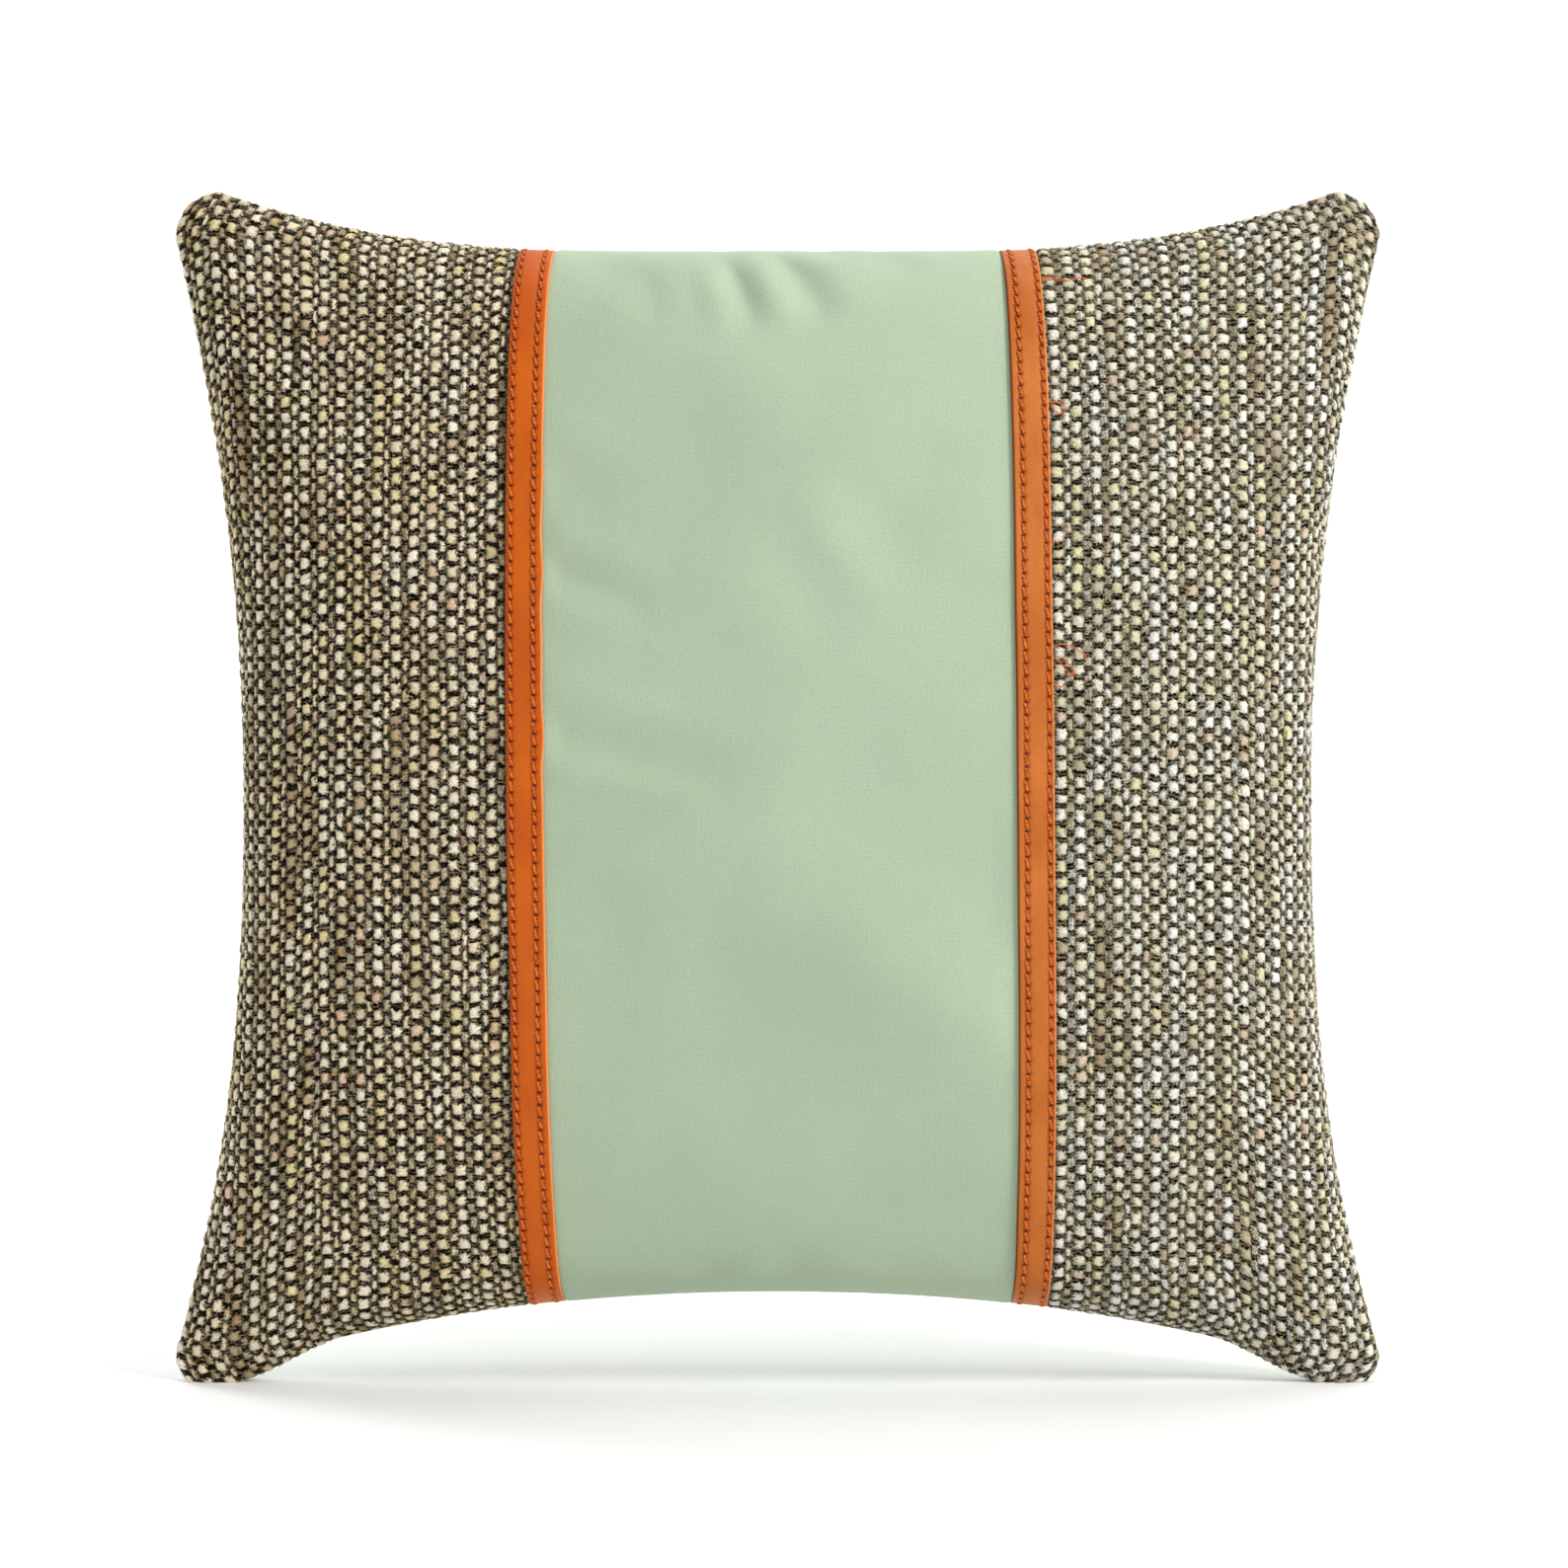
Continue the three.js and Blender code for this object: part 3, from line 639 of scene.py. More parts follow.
class Material:
    """A node material with helpers that return Values. Settings are for the shader's sockets."""

    def __init__(self, name, settings):
        self.material = bpy.data.materials.new(name)
        self.material.use_nodes = True
        self.tree = self.material.node_tree
        self.shader = self.tree.nodes["Principled BSDF"]
        for key, value in settings.items():
            self.put(self.shader.inputs[key], value)

    def put(self, socket, value):
        if isinstance(value, Value):
            self.tree.links.new(value.socket, socket)
        elif hasattr(value, "__len__") and len(value) == 3 and len(socket.default_value) == 4:
            socket.default_value = (*value, 1)
        else:
            socket.default_value = value

    def node(self, kind, inputs, output=0, **settings):
        made = self.tree.nodes.new(kind)
        for key, value in settings.items():
            setattr(made, key, value)
        for key, value in inputs.items():
            self.put(made.inputs[key], value)
        return Value(self, made.outputs[output])

    def math(self, operation, a, b=0.0):
        return self.node("ShaderNodeMath", {0: a, 1: b}, operation=operation)

    def vector(self, operation, a, b):
        return self.node("ShaderNodeVectorMath", {0: a, 1: b}, operation=operation)

    def scaled(self, vector, x, y, z=1.0):
        return self.vector("MULTIPLY", vector, (x, y, z))

    def part(self, vector, axis):
        return self.node("ShaderNodeSeparateXYZ", {0: vector}, axis)

    def step(self, value, low, high, to_low=0.0, to_high=1.0):
        return self.node("ShaderNodeMapRange", {
            "Value": value, "From Min": low, "From Max": high, "To Min": to_low, "To Max": to_high,
        }, "Result", interpolation_type="SMOOTHSTEP")

    def mix(self, factor, a, b):
        return self.node("ShaderNodeMix", {0: factor, 6: a, 7: b}, 2, data_type="RGBA")

    def mixed(self, factor, a, b):
        return self.node("ShaderNodeMix", {0: factor, 2: a, 3: b}, data_type="FLOAT")

    def noise(self, vector, scale, detail=2.0, rough=0.5, output=0):
        return self.node("ShaderNodeTexNoise", {
            "Vector": vector, "Scale": scale, "Detail": detail, "Roughness": rough}, output)

    def bands(self, vector, direction, scale, **settings):
        inputs = {"Vector": vector, "Scale": scale, **settings}
        return self.node("ShaderNodeTexWave", inputs, 1, bands_direction=direction)

    def uv(self):
        return self.node("ShaderNodeUVMap", {}, uv_map="cloth")

    def place(self):
        return self.node("ShaderNodeTexCoord", {}, "Object")

    def attribute(self, name, kind="Fac"):
        return self.node("ShaderNodeAttribute", {}, kind, attribute_name=name)

    def bump(self, height, distance, strength=1.0, under=None):
        inputs = {"Height": height, "Distance": distance, "Strength": strength}
        if under is not None:
            inputs["Normal"] = under
        return self.node("ShaderNodeBump", inputs)

    def finish(self, colour, roughness=None, normal=None):
        for key, value in (("Base Color", colour), ("Roughness", roughness), ("Normal", normal)):
            if value is not None:
                self.put(self.shader.inputs[key], value)
        return self.material


# The tweed's repeat: a heavy and a fine upright yarn across, and up it a float of each with a thin cross yarn
# between it and the next. The fine yarn's floats lie half a repeat from the heavy one's.
REPEATS_ACROSS = 19
REPEATS_UP = 74
SPLIT = 0.61             # the heavy yarn takes this share of a repeat's width
HEAVY_MIDDLE, HEAVY_HALF = 0.31, 0.265
FINE_MIDDLE, FINE_HALF = 0.80, 0.130
FLOAT_HALF = 0.345       # half the length of a float, in repeats
ACROSS_POWER, UP_POWER = 3.0, 3.6
# Scale and reach of the waves that take the yarns off their straight lines.
JOLTS = ((2.3, 0.22), (6.5, 0.23), (13.0, 0.32))


def tweed_material(name, gap_dark, gap_light, pit_tone, cross_seen):
    """The gaps' colours, with the painted shade deep in them, and the least that shows of the cross yarn in
    them, set how open the weave looks.
    """
    m = Material(name, {"Roughness": 0.97, "Specular IOR Level": 0.03})
    uv = m.uv()
    woven = uv
    for scale, amount in JOLTS:
        wave = m.vector("SUBTRACT", m.noise(uv, scale, output="Color"), (0.5, 0.5, 0.5))
        woven = m.vector("ADD", woven, m.scaled(wave, amount, amount, 0))
    fu = m.math("FRACT", m.part(woven, 0))
    heavy = m.math("LESS_THAN", fu, SPLIT)
    shifted = m.part(woven, 1) + m.mixed(heavy, 0.5, 0.0)
    along = m.math("FRACT", shifted) - 0.5
    cross = m.math("FRACT", shifted + 0.5) - 0.5
    wide = abs((fu - m.mixed(heavy, FINE_MIDDLE, HEAVY_MIDDLE)) / m.mixed(heavy, FINE_HALF, HEAVY_HALF))
    tall = abs(along / FLOAT_HALF)
    # A float is pinched in the middle and spreads towards its ends.
    waist = wide / m.step(tall, 0.0, 0.8, 0.90, 1.06)
    radius = (waist ** ACROSS_POWER + tall ** UP_POWER) / m.attribute("swell")
    # Loose slubs give every float a ragged outline of its own.
    radius = radius * m.step(m.noise(woven, 5.4, 3.0, 0.7), 0.28, 0.72, 0.15, 2.6)
    float_mask = m.step(radius, 1.12, 0.86)
    # Between floats a cross yarn lies in a deep gap that is painted near black, a painted shade; the yarn
    # shows more in some places than in others.
    off = abs(cross + (m.noise(woven, 3.1) - 0.5) * 0.16)
    reach = m.step(wide, m.mixed(heavy, 1.95, 1.45), m.mixed(heavy, 1.35, 1.1))
    ridge = m.step(off, 0.060, 0.022) * reach
    seen = m.step(m.noise(m.scaled(uv, 1.1, 2.2), 1.6, 1.0), 0.42, 0.66, cross_seen, 1.0)
    pit = m.step(off, 0.215, 0.160) * reach
    fibres = m.noise(m.scaled(woven, 24, 8), 1.0, 3.0, 0.6)
    fuzz = m.noise(woven, 10.0, 4.0, 0.75)
    beside = m.mix(m.step(m.noise(woven, 4.0, 3.0, 0.7), 0.36, 0.64), rgb(*gap_dark), rgb(*gap_light))
    colour = m.mix(pit, beside, rgb(*pit_tone))
    thin = m.mix(m.noise(m.scaled(woven, 0.6, 3.0), 1.7), rgb(84, 70, 46), rgb(196, 184, 152))
    colour = m.mix(ridge * seen, colour, thin)
    # Olive and brown fibres are carded into every yarn.
    yarn = m.mix(m.step(fuzz, 0.49, 0.64) * 0.66, m.attribute("tint", "Color"), rgb(122, 103, 64))
    # Each float's tone follows its fibres, and it is painted darker towards its outline, a painted shade of
    # its roundness.
    shade = m.step(fibres, 0.28, 0.68, 0.78, 1.10) * m.step(radius, 1.05, 0.35, 0.76, 1.03)
    # In places the fine yarn opens into two plies, and the slit between them is painted dark, a painted
    # shade.
    opened = m.step(m.noise(m.scaled(uv, 0.9, 0.13), 1.0, 1.0), 0.44, 0.54)
    slit = m.step(wide, 0.40, 0.12) * (1.0 - heavy) * opened
    shade = shade * (1.0 - slit * 0.80)
    yarn = m.node("ShaderNodeVectorMath", {0: yarn, "Scale": shade}, operation="SCALE")
    dome = m.math("SQRT", m.math("MAXIMUM", 1.0 - radius * 0.85))
    height = float_mask * (dome * 0.7 + 0.3) + ridge * 0.40 + fibres * 0.25 + fuzz * 0.50 - slit * 0.35
    return m.finish(m.mix(float_mask, colour, yarn), normal=m.bump(height, 1.0 * MM, 0.9))


def sage_material():
    m = Material("sage_fine_cloth", {
        "Roughness": 0.62, "Sheen Weight": 0.18, "Sheen Roughness": 0.45, "Specular IOR Level": 0.28,
        "Sheen Tint": rgb(236, 240, 226)})
    uv = m.uv()                                     # one unit is a millimetre of cloth
    threads = (m.bands(uv, "X", 0.72, Distortion=0.6, Detail=1.0)
               + m.bands(uv, "Y", 0.66, Distortion=0.6, Detail=1.0))
    broad = m.noise(uv, 0.011, 3.0)
    streak = m.noise(m.scaled(uv, 0.7, 0.12), 1.0)
    grain = m.noise(uv, 0.95, 3.0, 0.75)
    colour = m.mix(m.step(broad, 0.35, 0.65), rgb(161, 180, 152), rgb(168, 186, 158))
    colour = m.mix(m.step(grain, 0.35, 0.7, 0.0, 0.42), colour, rgb(140, 157, 130))
    colour = m.mix(m.step(streak, 0.45, 0.75, 0.0, 0.08), colour, rgb(176, 190, 165))
    colour = m.mix(threads * 0.07, colour, rgb(184, 197, 174))
    fine = m.bump(threads + grain * 0.8, 0.09 * MM, 0.55)
    uneven = m.bump(m.noise(uv, 0.10), 0.5 * MM, 0.25, fine)
    return m.finish(colour, m.step(grain, 0.2, 0.8, 0.55, 0.70), uneven)


def leather_material(name, dark, light):
    m = Material(name, {"Specular IOR Level": 0.20})
    uv = m.uv()
    pores = m.node("ShaderNodeTexVoronoi", {"Vector": uv, "Scale": 2.2}, feature="SMOOTH_F1")
    cells = m.node("ShaderNodeTexVoronoi", {"Vector": uv, "Scale": 1.5}, feature="DISTANCE_TO_EDGE")
    grain = m.noise(uv, 1.6, 4.0, 0.65)
    broad = m.noise(m.scaled(uv, 0.05, 0.022), 1.0, 3.0)
    colour = m.mix(m.step(broad, 0.3, 0.7), rgb(*dark), rgb(*light))
    colour = m.mix(m.step(grain, 0.3, 0.75, 0.0, 0.32), colour, rgb(160, 68, 6))
    colour = m.mix(m.step(pores, 0.22, 0.05, 0.0, 0.25), colour, rgb(140, 54, 10))
    # The cut edges: 1 at the right one, painted paler as a painted highlight of the light from the right, and
    # -1 at the left one, painted dark as a painted shade.
    edge = m.attribute("edge")
    colour = m.mix(m.step(edge, 0.35, 1.0, 0.0, 0.75), colour, rgb(236, 146, 84))
    colour = m.mix(m.step(edge, -0.25, -0.9, 0.0, 0.75), colour, rgb(104, 48, 8))
    # The bottom end is paler.
    paler_bottom_end = m.step(m.part(uv, 1), 30.0, 4.0, 0.0, 0.40) * m.step(grain, 0.3, 0.6, 0.6, 1.0)
    colour = m.mix(paler_bottom_end, colour, rgb(228, 156, 104))
    # Painted shade in the stitch holes and along the grooves.
    colour = m.mix(m.attribute("hole"), colour, rgb(98, 24, 2))
    height = m.step(cells, 0.0, 0.12) * 0.6 + grain * 0.8
    return m.finish(colour, m.step(grain, 0.25, 0.75, 0.46, 0.60), m.bump(height, 0.12 * MM, 0.4))


def thread_material(name, dark, light):
    m = Material(name, {"Roughness": 0.55, "Specular IOR Level": 0.12})
    place = m.place()
    strands = m.noise(m.scaled(place, 900, 900, 2600), 1.0)
    colour = m.mix(m.step(strands, 0.3, 0.7), rgb(*dark), rgb(*light))
    colour = m.mix(m.step(m.noise(place, 260.0), 0.35, 0.7, 0.0, 0.4), colour, rgb(*light))
    return m.finish(colour, normal=m.bump(strands, 0.1 * MM, 0.6))


def tape_material():
    m = Material("woven_zipper_tape", {"Roughness": 0.85})
    uv = m.uv()
    zigzag = m.math("PINGPONG", m.part(uv, 1), 1.2)
    slant = m.math("FRACT", (m.part(uv, 0) + zigzag) * 1.1)
    height = m.bands(uv, "X", 0.9) + slant
    colour = m.mix(slant, rgb(132, 150, 122), rgb(168, 184, 156))
    return m.finish(colour, normal=m.bump(height, 0.15 * MM, 0.6))


def coil_material():
    m = Material("nylon_coil", {"Roughness": 0.32})
    return m.finish(m.mix(m.noise(m.place(), 180.0), rgb(150, 166, 138), rgb(176, 190, 164)))


def metal_material():
    m = Material("antiqued_zinc", {"Metallic": 0.9})
    place = m.place()
    cloud = m.noise(place, 420.0, 4.0, 0.6)
    brushed = m.noise(m.scaled(place, 300, 2600, 2600), 1.0, 3.0)
    colour = m.mix(m.step(cloud, 0.35, 0.65), rgb(108, 101, 88), rgb(176, 170, 156))
    rough = m.step(cloud + brushed, 0.6, 1.4, 0.24, 0.5)
    return m.finish(colour, rough, m.bump(brushed, 0.03 * MM, 0.5))


def ticking_material():
    m = Material("cotton_ticking", {"Roughness": 0.9})
    uv = m.uv()
    threads = m.bands(uv, "X", 0.9) + m.bands(uv, "Y", 0.9)
    colour = m.mix(m.step(m.noise(uv, 0.6, 4.0, 0.7), 0.3, 0.7), rgb(232, 229, 220), rgb(246, 244, 238))
    return m.finish(colour, normal=m.bump(threads, 0.12 * MM, 0.5))


def fibre_material():
    m = Material("polyester_fibre", {"Roughness": 1.0, "Sheen Weight": 0.3})
    strands = m.noise(m.scaled(m.place(), 130, 130, 130), 1.0, 8.0, 0.75)
    colour = m.mix(strands, rgb(232, 231, 226), rgb(252, 252, 250))
    return m.finish(colour, normal=m.bump(strands, 2.0 * MM, 0.8))


left_tweed = tweed_material("tweed_weave_brown", (34, 22, 8), (148, 130, 92), (6, 2, 0), 0.10)
right_tweed = tweed_material("tweed_weave_grey", (58, 50, 32), (182, 170, 138), (6, 4, 1), 0.45)
sage = sage_material()
left_leather = leather_material("tan_leather_grain", (186, 80, 2), (203, 96, 4))
# The right strip is the same leather, painted paler and yellower as a painted sheen of the light from the
# right.
right_leather_with_painted_sheen = leather_material("tan_leather_grain_painted_sheen", (174, 92, 26), (194, 112, 46))
topstitch_thread = thread_material("orange_thread", (150, 56, 6), (230, 122, 50))
seam_thread = thread_material("sage_thread", (132, 150, 122), (186, 200, 174))
tape_cloth = tape_material()
nylon = coil_material()
metal = metal_material()
ticking_cloth = ticking_material()
fibre = fibre_material()


def place(piece, material, slot, *nodes, body="pillow"):
    """Gives a piece its material, its body and the frame's nodes that it stands for."""
    piece.data.materials.append(material)
    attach(piece, body)
    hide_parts(*nodes)
    return piece


# ---------------------------------------------------------------- hems at the bottom seam

# The cloth turns in at the bottom seam and runs up inside. Each row is [half gap of the outer face, its
# height, half gap of the inner face, its height], beside the zipper and then beside a plain seam.
HEM_AT_ZIPPER = np.array([
    [3.7, -0.85, 4.25, 0.0], [3.05, -0.65, 4.2, 0.3], [2.75, -0.1, 4.15, 0.7], [2.75, 0.4, 4.15, 1.0],
    [2.95, 1.0, 4.3, 1.4], [3.6, 1.8, 4.9, 1.9], [4.0, 2.6, 5.25, 2.6], [4.05, 7.0, 5.3, 7.0],
    [4.1, 10.5, 5.3, 10.5],
])
HEM_AT_SEAM = np.array([
    [0.34, 0.05, 0.9, 0.1], [0.32, 0.2, 1.0, 0.3], [0.3, 0.5, 1.1, 0.6], [0.3, 1.0, 1.2, 1.2],
    [0.3, 2.0, 1.3, 2.1], [0.3, 3.0, 1.3, 3.0], [0.3, 4.0, 1.3, 4.0], [0.3, 7.0, 1.3, 7.0],
    [0.3, 10.5, 1.3, 10.5],
])
HEM_END = 186.0          # the allowance gets short past this distance from the middle
HEM_END_RUN = 20.0


def hem_rows(u, side):
    """Outer and inner points of the hem below v = -1, innermost row first."""
    x, z = outline(u, np.full_like(u, -1.0))
    zone = zipper_zone(x)[None, :, None]
    profile = lerp(HEM_AT_SEAM[:, None, :], HEM_AT_ZIPPER[:, None, :], zone)
    short = lerp(1, 0.06, smooth((np.abs(x) - HEM_END) / HEM_END_RUN))[None, :]
    points = []
    for gap, height in ((0, 1), (2, 3)):
        rise = profile[..., height] * np.where(profile[..., height] > 0, short, 1)
        up = np.maximum(z[None] + rise, 0)
        points.append(np.stack([np.broadcast_to(x, up.shape), side * profile[..., gap], up], axis=-1)[::-1])
    return points


def panel(name, side, a, b, lay, thickness, step, attributes=(), uv=None):
    """A panel over shares a and b of its cut, with its hem. thickness(u, v) is the outer face's lift."""
    u, v = lay(a, b)
    outer = cover_point(u, v, side, thickness(u, v))
    low_u, low_v = u[::step, ::step], v[::step, ::step]
    inner = surface(low_u, low_v, side)
    inner[..., 2] = np.maximum(inner[..., 2], FABRIC)
    hem_outer, hem_inner = hem_rows(u[0], side)
    hem_low = hem_rows(u[0, ::step], side)[1]
    # The hem's rows fill whole steps of the grid, so that the inner face keeps its spacing.
    count = -(-len(hem_outer) // step) * step
    share = np.linspace(0, len(hem_outer) - 1, count)
    whole = np.minimum(share.astype(int), len(hem_outer) - 2)
    part = (share - whole)[:, None, None]
    hem_outer = lerp(hem_outer[whole], hem_outer[whole + 1], part)
    picked = np.linspace(0, len(hem_low) - 1, count // step, endpoint=False).round().astype(int)
    hem_inner = hem_low[picked]
    outer = np.concatenate([hem_outer, outer])
    inner = np.concatenate([hem_inner, inner])
    if uv is not None:
        rise = (uv[1, 0, 1] - uv[0, 0, 1]) if len(uv) > 1 else 1
        below = np.repeat(uv[:1], count, axis=0)
        below[..., 1] -= rise * np.arange(count, 0, -1)[:, None]
        uv = np.concatenate([below, uv])
    more = [(key, np.concatenate([np.repeat(values[:1], count, axis=0), values]))
            for key, values in attributes]
    return slab(name, outer, inner, step, uv, more, facing=1 if side == FRONT else -1)


# ---------------------------------------------------------------- tweed panels

CELLS = 8                # cells to a repeat of the weave, across and up
HEAVY_RISE = 0.95
FINE_RISE = 0.80
CROSS_RISE = 0.30
TWEED_BASE = 0.7

CREAM = linear(234, 224, 190)
PALE = linear(243, 236, 212)
YELLOW = linear(226, 213, 164)
PINK = linear(222, 196, 162)
TAUPE = linear(186, 166, 126)
BROWN = linear(156, 130, 92)
RIGHT_CAST = np.array([1.08, 1.14, 1.31])    # the right panel's cloth is a little greyer
LEFT_CAST = np.array([1.21, 1.16, 1.17])


def yarn_tints(seed, cast):
    """Colours of every float, as [kind, column, row]: kind 0 is the heavy yarn and 1 the fine one."""
    rng = np.random.default_rng(seed)
    column = np.arange(REPEATS_ACROSS + 1)[:, None] * 1.0
    row = np.arange(REPEATS_UP + 3)[None, :] * 1.0
    tints = []
    for kind in (0, 1):
        dyed = noise(column * 7.31 + 3 * kind, row / 6.5, seed + 1)
        dyed = dyed + 0.55 * noise(column / 3, row / 22, seed + 2)
        dyed = dyed + 0.35 * noise(column * 5.7, row / 2.2, seed + 3) + rng.normal(0, 0.16, dyed.shape)
        dark = smooth((-dyed - 0.40) / 0.7)[..., None]
        pale = smooth(0.5 + 0.9 * noise(column * 5.3, row / 3.1, seed + 11 + kind))[..., None]
        warm = smooth(1.6 * noise(column * 3.9, row / 5.0, seed + 13 + kind) - 0.35)[..., None]
        pick = rng.random(dyed.shape)[..., None]
        base = lerp(lerp(CREAM, PALE, pale), YELLOW, warm)
        base = np.where(pick < 0.05, YELLOW, np.where(pick < 0.08, PINK, base))
        tint = lerp(base, lerp(TAUPE, BROWN, smooth((-dyed - 0.85) / 0.5)[..., None]), dark * 0.8)
        tints.append(tint * cast * rng.uniform(0.88, 1.04, dyed.shape)[..., None])
    return np.array(tints), rng


def tweed_panel(sign, name, node):
    def edge(v):
        return strip_middle(sign, v) + sign * PANEL_GAP / HALF_WIDTH

    lay = Lay(FRONT, right=edge) if sign < 0 else Lay(FRONT, left=edge)
    seed = 40 + 10 * sign
    tints, rng = yarn_tints(seed, LEFT_CAST if sign < 0 else RIGHT_CAST)
    columns, rows = REPEATS_ACROSS * CELLS, REPEATS_UP * CELLS
    grid_u, grid_v = np.meshgrid(np.arange(columns + 1) / CELLS, np.arange(rows + 1) / CELLS)
    # Yarns wander a little, but stay put at the panel's edges.
    hold = (smooth(np.minimum(grid_u, REPEATS_ACROSS - grid_u))
            * smooth(np.minimum(grid_v, REPEATS_UP - grid_v)))
    shift_u = hold * (0.06 * noise(grid_u * 1.3, grid_v / 5, seed + 4)
                      + 0.07 * noise(grid_u * 2.1, grid_v * 1.1, seed + 5)
                      + 0.06 * noise(grid_u / 6, grid_v / 16, seed + 7))
    shift_v = hold * (0.12 * noise(grid_u * 1.7, grid_v * 1.2, seed + 6)
                      + 0.14 * noise(grid_u / 5, grid_v / 9, seed + 8))
    a = (grid_u + shift_u) / REPEATS_ACROSS
    b = (grid_v + shift_v) / REPEATS_UP
    fu = grid_u % 1
    heavy = (fu < SPLIT).astype(int)
    shifted = grid_v + 0.5 * (1 - heavy)
    along = shifted % 1 - 0.5
    cross = (shifted + 0.5) % 1 - 0.5
    cell_column = np.minimum(np.floor(grid_u).astype(int), REPEATS_ACROSS)
    cell_row = np.floor(shifted).astype(int)
    tint = tints[1 - heavy, cell_column, cell_row]
    size = rng.uniform(0.66, 1.38, tints.shape[:3])[1 - heavy, cell_column, cell_row]
    rise = rng.uniform(0.82, 1.15, tints.shape[:3])[1 - heavy, cell_column, cell_row]
    dx = np.abs(fu - np.where(heavy, HEAVY_MIDDLE, FINE_MIDDLE)) / np.where(heavy, HEAVY_HALF, FINE_HALF)
    radius = (dx ** ACROSS_POWER + np.abs(along / FLOAT_HALF) ** UP_POWER) / size
    dome = np.maximum(1 - 0.92 * radius, 0) ** 0.4
    knob = 1 + 0.16 * noise(grid_u * 4, grid_v * 4, seed + 9)
    lift = np.where(heavy, HEAVY_RISE, FINE_RISE) * rise * dome * knob
    lift = np.maximum(lift, CROSS_RISE * np.maximum(1 - np.abs(cross) / 0.16, 0) ** 0.5 * (dx < 1.2))

    def thickness(u, v):
        from_strip = np.abs(u - strip_middle(sign, v)) * HALF_WIDTH
        pressed = smooth((from_strip - STRIP_WIDTH / 2 + 0.4) / 1.6)
        return (TWEED_BASE + lift * lerp(0.35, 1, pressed)) * rounding(u, v, FRONT) * under_strip(u, v)

    uv = np.stack([grid_u, grid_v], axis=-1)
    made = panel(name, FRONT, a, b, lay, thickness, CELLS, [("tint", tint), ("swell", size)], uv)
    return place(made, left_tweed if sign < 0 else right_tweed, "tweed", node)


tweed_left = tweed_panel(-1, "tweed_panel_left", "front_left_panel")
tweed_right = tweed_panel(1, "tweed_panel_right", "front_right_panel")

# ---------------------------------------------------------------- sage panels

PANEL_CUT = 138.0        # each tweed panel, seam line to joint
CENTRE_CUT = CUT - 2 * PANEL_CUT


def sage_panel(name, node, side, columns, rows, step, lay, width):
    a, b = np.meshgrid(np.linspace(0, 1, columns + 1), np.linspace(0, 1, rows + 1))
    uv = np.stack([a * width, b * CUT], axis=-1)

    def thickness(u, v):
        return FABRIC * rounding(u, v, side) * (under_strip(u, v) if side == FRONT else 1)

    made = panel(name, side, a, b, lay, thickness, step, uv=uv)
    return place(made, sage, "sage_cloth", node)


inset = PANEL_GAP / HALF_WIDTH
centre = sage_panel("sage_panel_front", "front_centre_panel", FRONT, 120, 300, 4, Lay(
    FRONT, lambda v: strip_middle(-1, v) + inset, lambda v: strip_middle(1, v) - inset), CENTRE_CUT)
back = sage_panel("sage_panel_back", "back_panel", BACK, 200, 200, 4, WHOLE[BACK], CUT)

# ---------------------------------------------------------------- leather strips and their topstitching

STRIP_SEAT = 1.75        # lift of a strip's underside
LEATHER = 1.45           # its thickness in the middle
STRIP_COLUMNS = 32
STRIP_ROWS = 800
PITCH = 4.5              # from one stitch to the next
STITCH_ROWS = {-1: (-4.7, 3.3), 1: (-3.3, 4.7)}       # outer and inner rows, from the strip's middle line
EDGE_ROUND = 0.65
GROOVE, GROOVE_HALF = 0.32, 0.7
HOLE_DEPTH = 0.7
STITCH_SHORT = 0.55      # how much short of its hole a stitch dips under
HOLE_RADIUS = 0.95
HOLE_SLANT = 0.45        # how much a hole leans along its row
STITCH_SLANT = 0.46      # each stitch crosses its row's line by this much, both ways
PLY_RADIUS = 0.29
PLY_APART = 0.27         # from the stitch's middle to each ply's
STITCH_ARCH, STITCH_DIP = 0.40, 0.35     # rise of a stitch's middle and fall of its ends
LOOSE_RADIUS, LOOSE_LIFT = 0.22, 2.3


def strip_uv(sign, offset, share):
    """u and v on a strip at an offset from its middle line and a share of its length."""
    offset, share = np.broadcast_arrays(np.asarray(offset, float), np.asarray(share, float))
    v = table_at(WHOLE[FRONT].up, knot_index(np.full_like(share, sign * 0.4)), share * (FINE - 1))
    return strip_middle(sign, v) + offset / HALF_WIDTH, v


def strip_length(sign):
    u, v = strip_uv(sign, 0, np.linspace(0, 1, 400))
    return arc_lengths(form(u, v, FRONT))[-1]


def strip_rise(u, v):
    """Share of a strip's full height above the form."""
    return lerp(0.35, 1, rounding(u, v, FRONT)) * strip_press(u, v)


def leather_lift(sign, offset, along):
    """The leather's outer face above its seat, with its grooves and stitch holes, and the share of painted
    shade in them; along is in millimetres.
    """
    half = STRIP_WIDTH / 2
    edge = np.clip((half - np.abs(offset)) / EDGE_ROUND, 0, 1)
    lift = LEATHER * (0.60 + 0.40 * np.sqrt(1 - (1 - edge) ** 2))
    hole = 0.0
    for k, row in enumerate(STITCH_ROWS[sign]):
        off = offset - row
        groove = np.exp(-(off / GROOVE_HALF) ** 2)
        lift = lift - GROOVE * groove
        from_hole = ((along + k * PITCH / 2) / PITCH + 0.5) % 1 * PITCH - PITCH / 2
        across_hole = (off - HOLE_SLANT * from_hole) / HOLE_RADIUS
        near = np.exp(-(across_hole ** 2 + (from_hole / (0.8 * HOLE_RADIUS)) ** 2))
        lift = lift - HOLE_DEPTH * near
        # The holes and the grooves beside the thread are painted dark, a painted shade.
        hole = np.maximum(hole, np.maximum(near, 0.38 * groove))
    return lift, hole


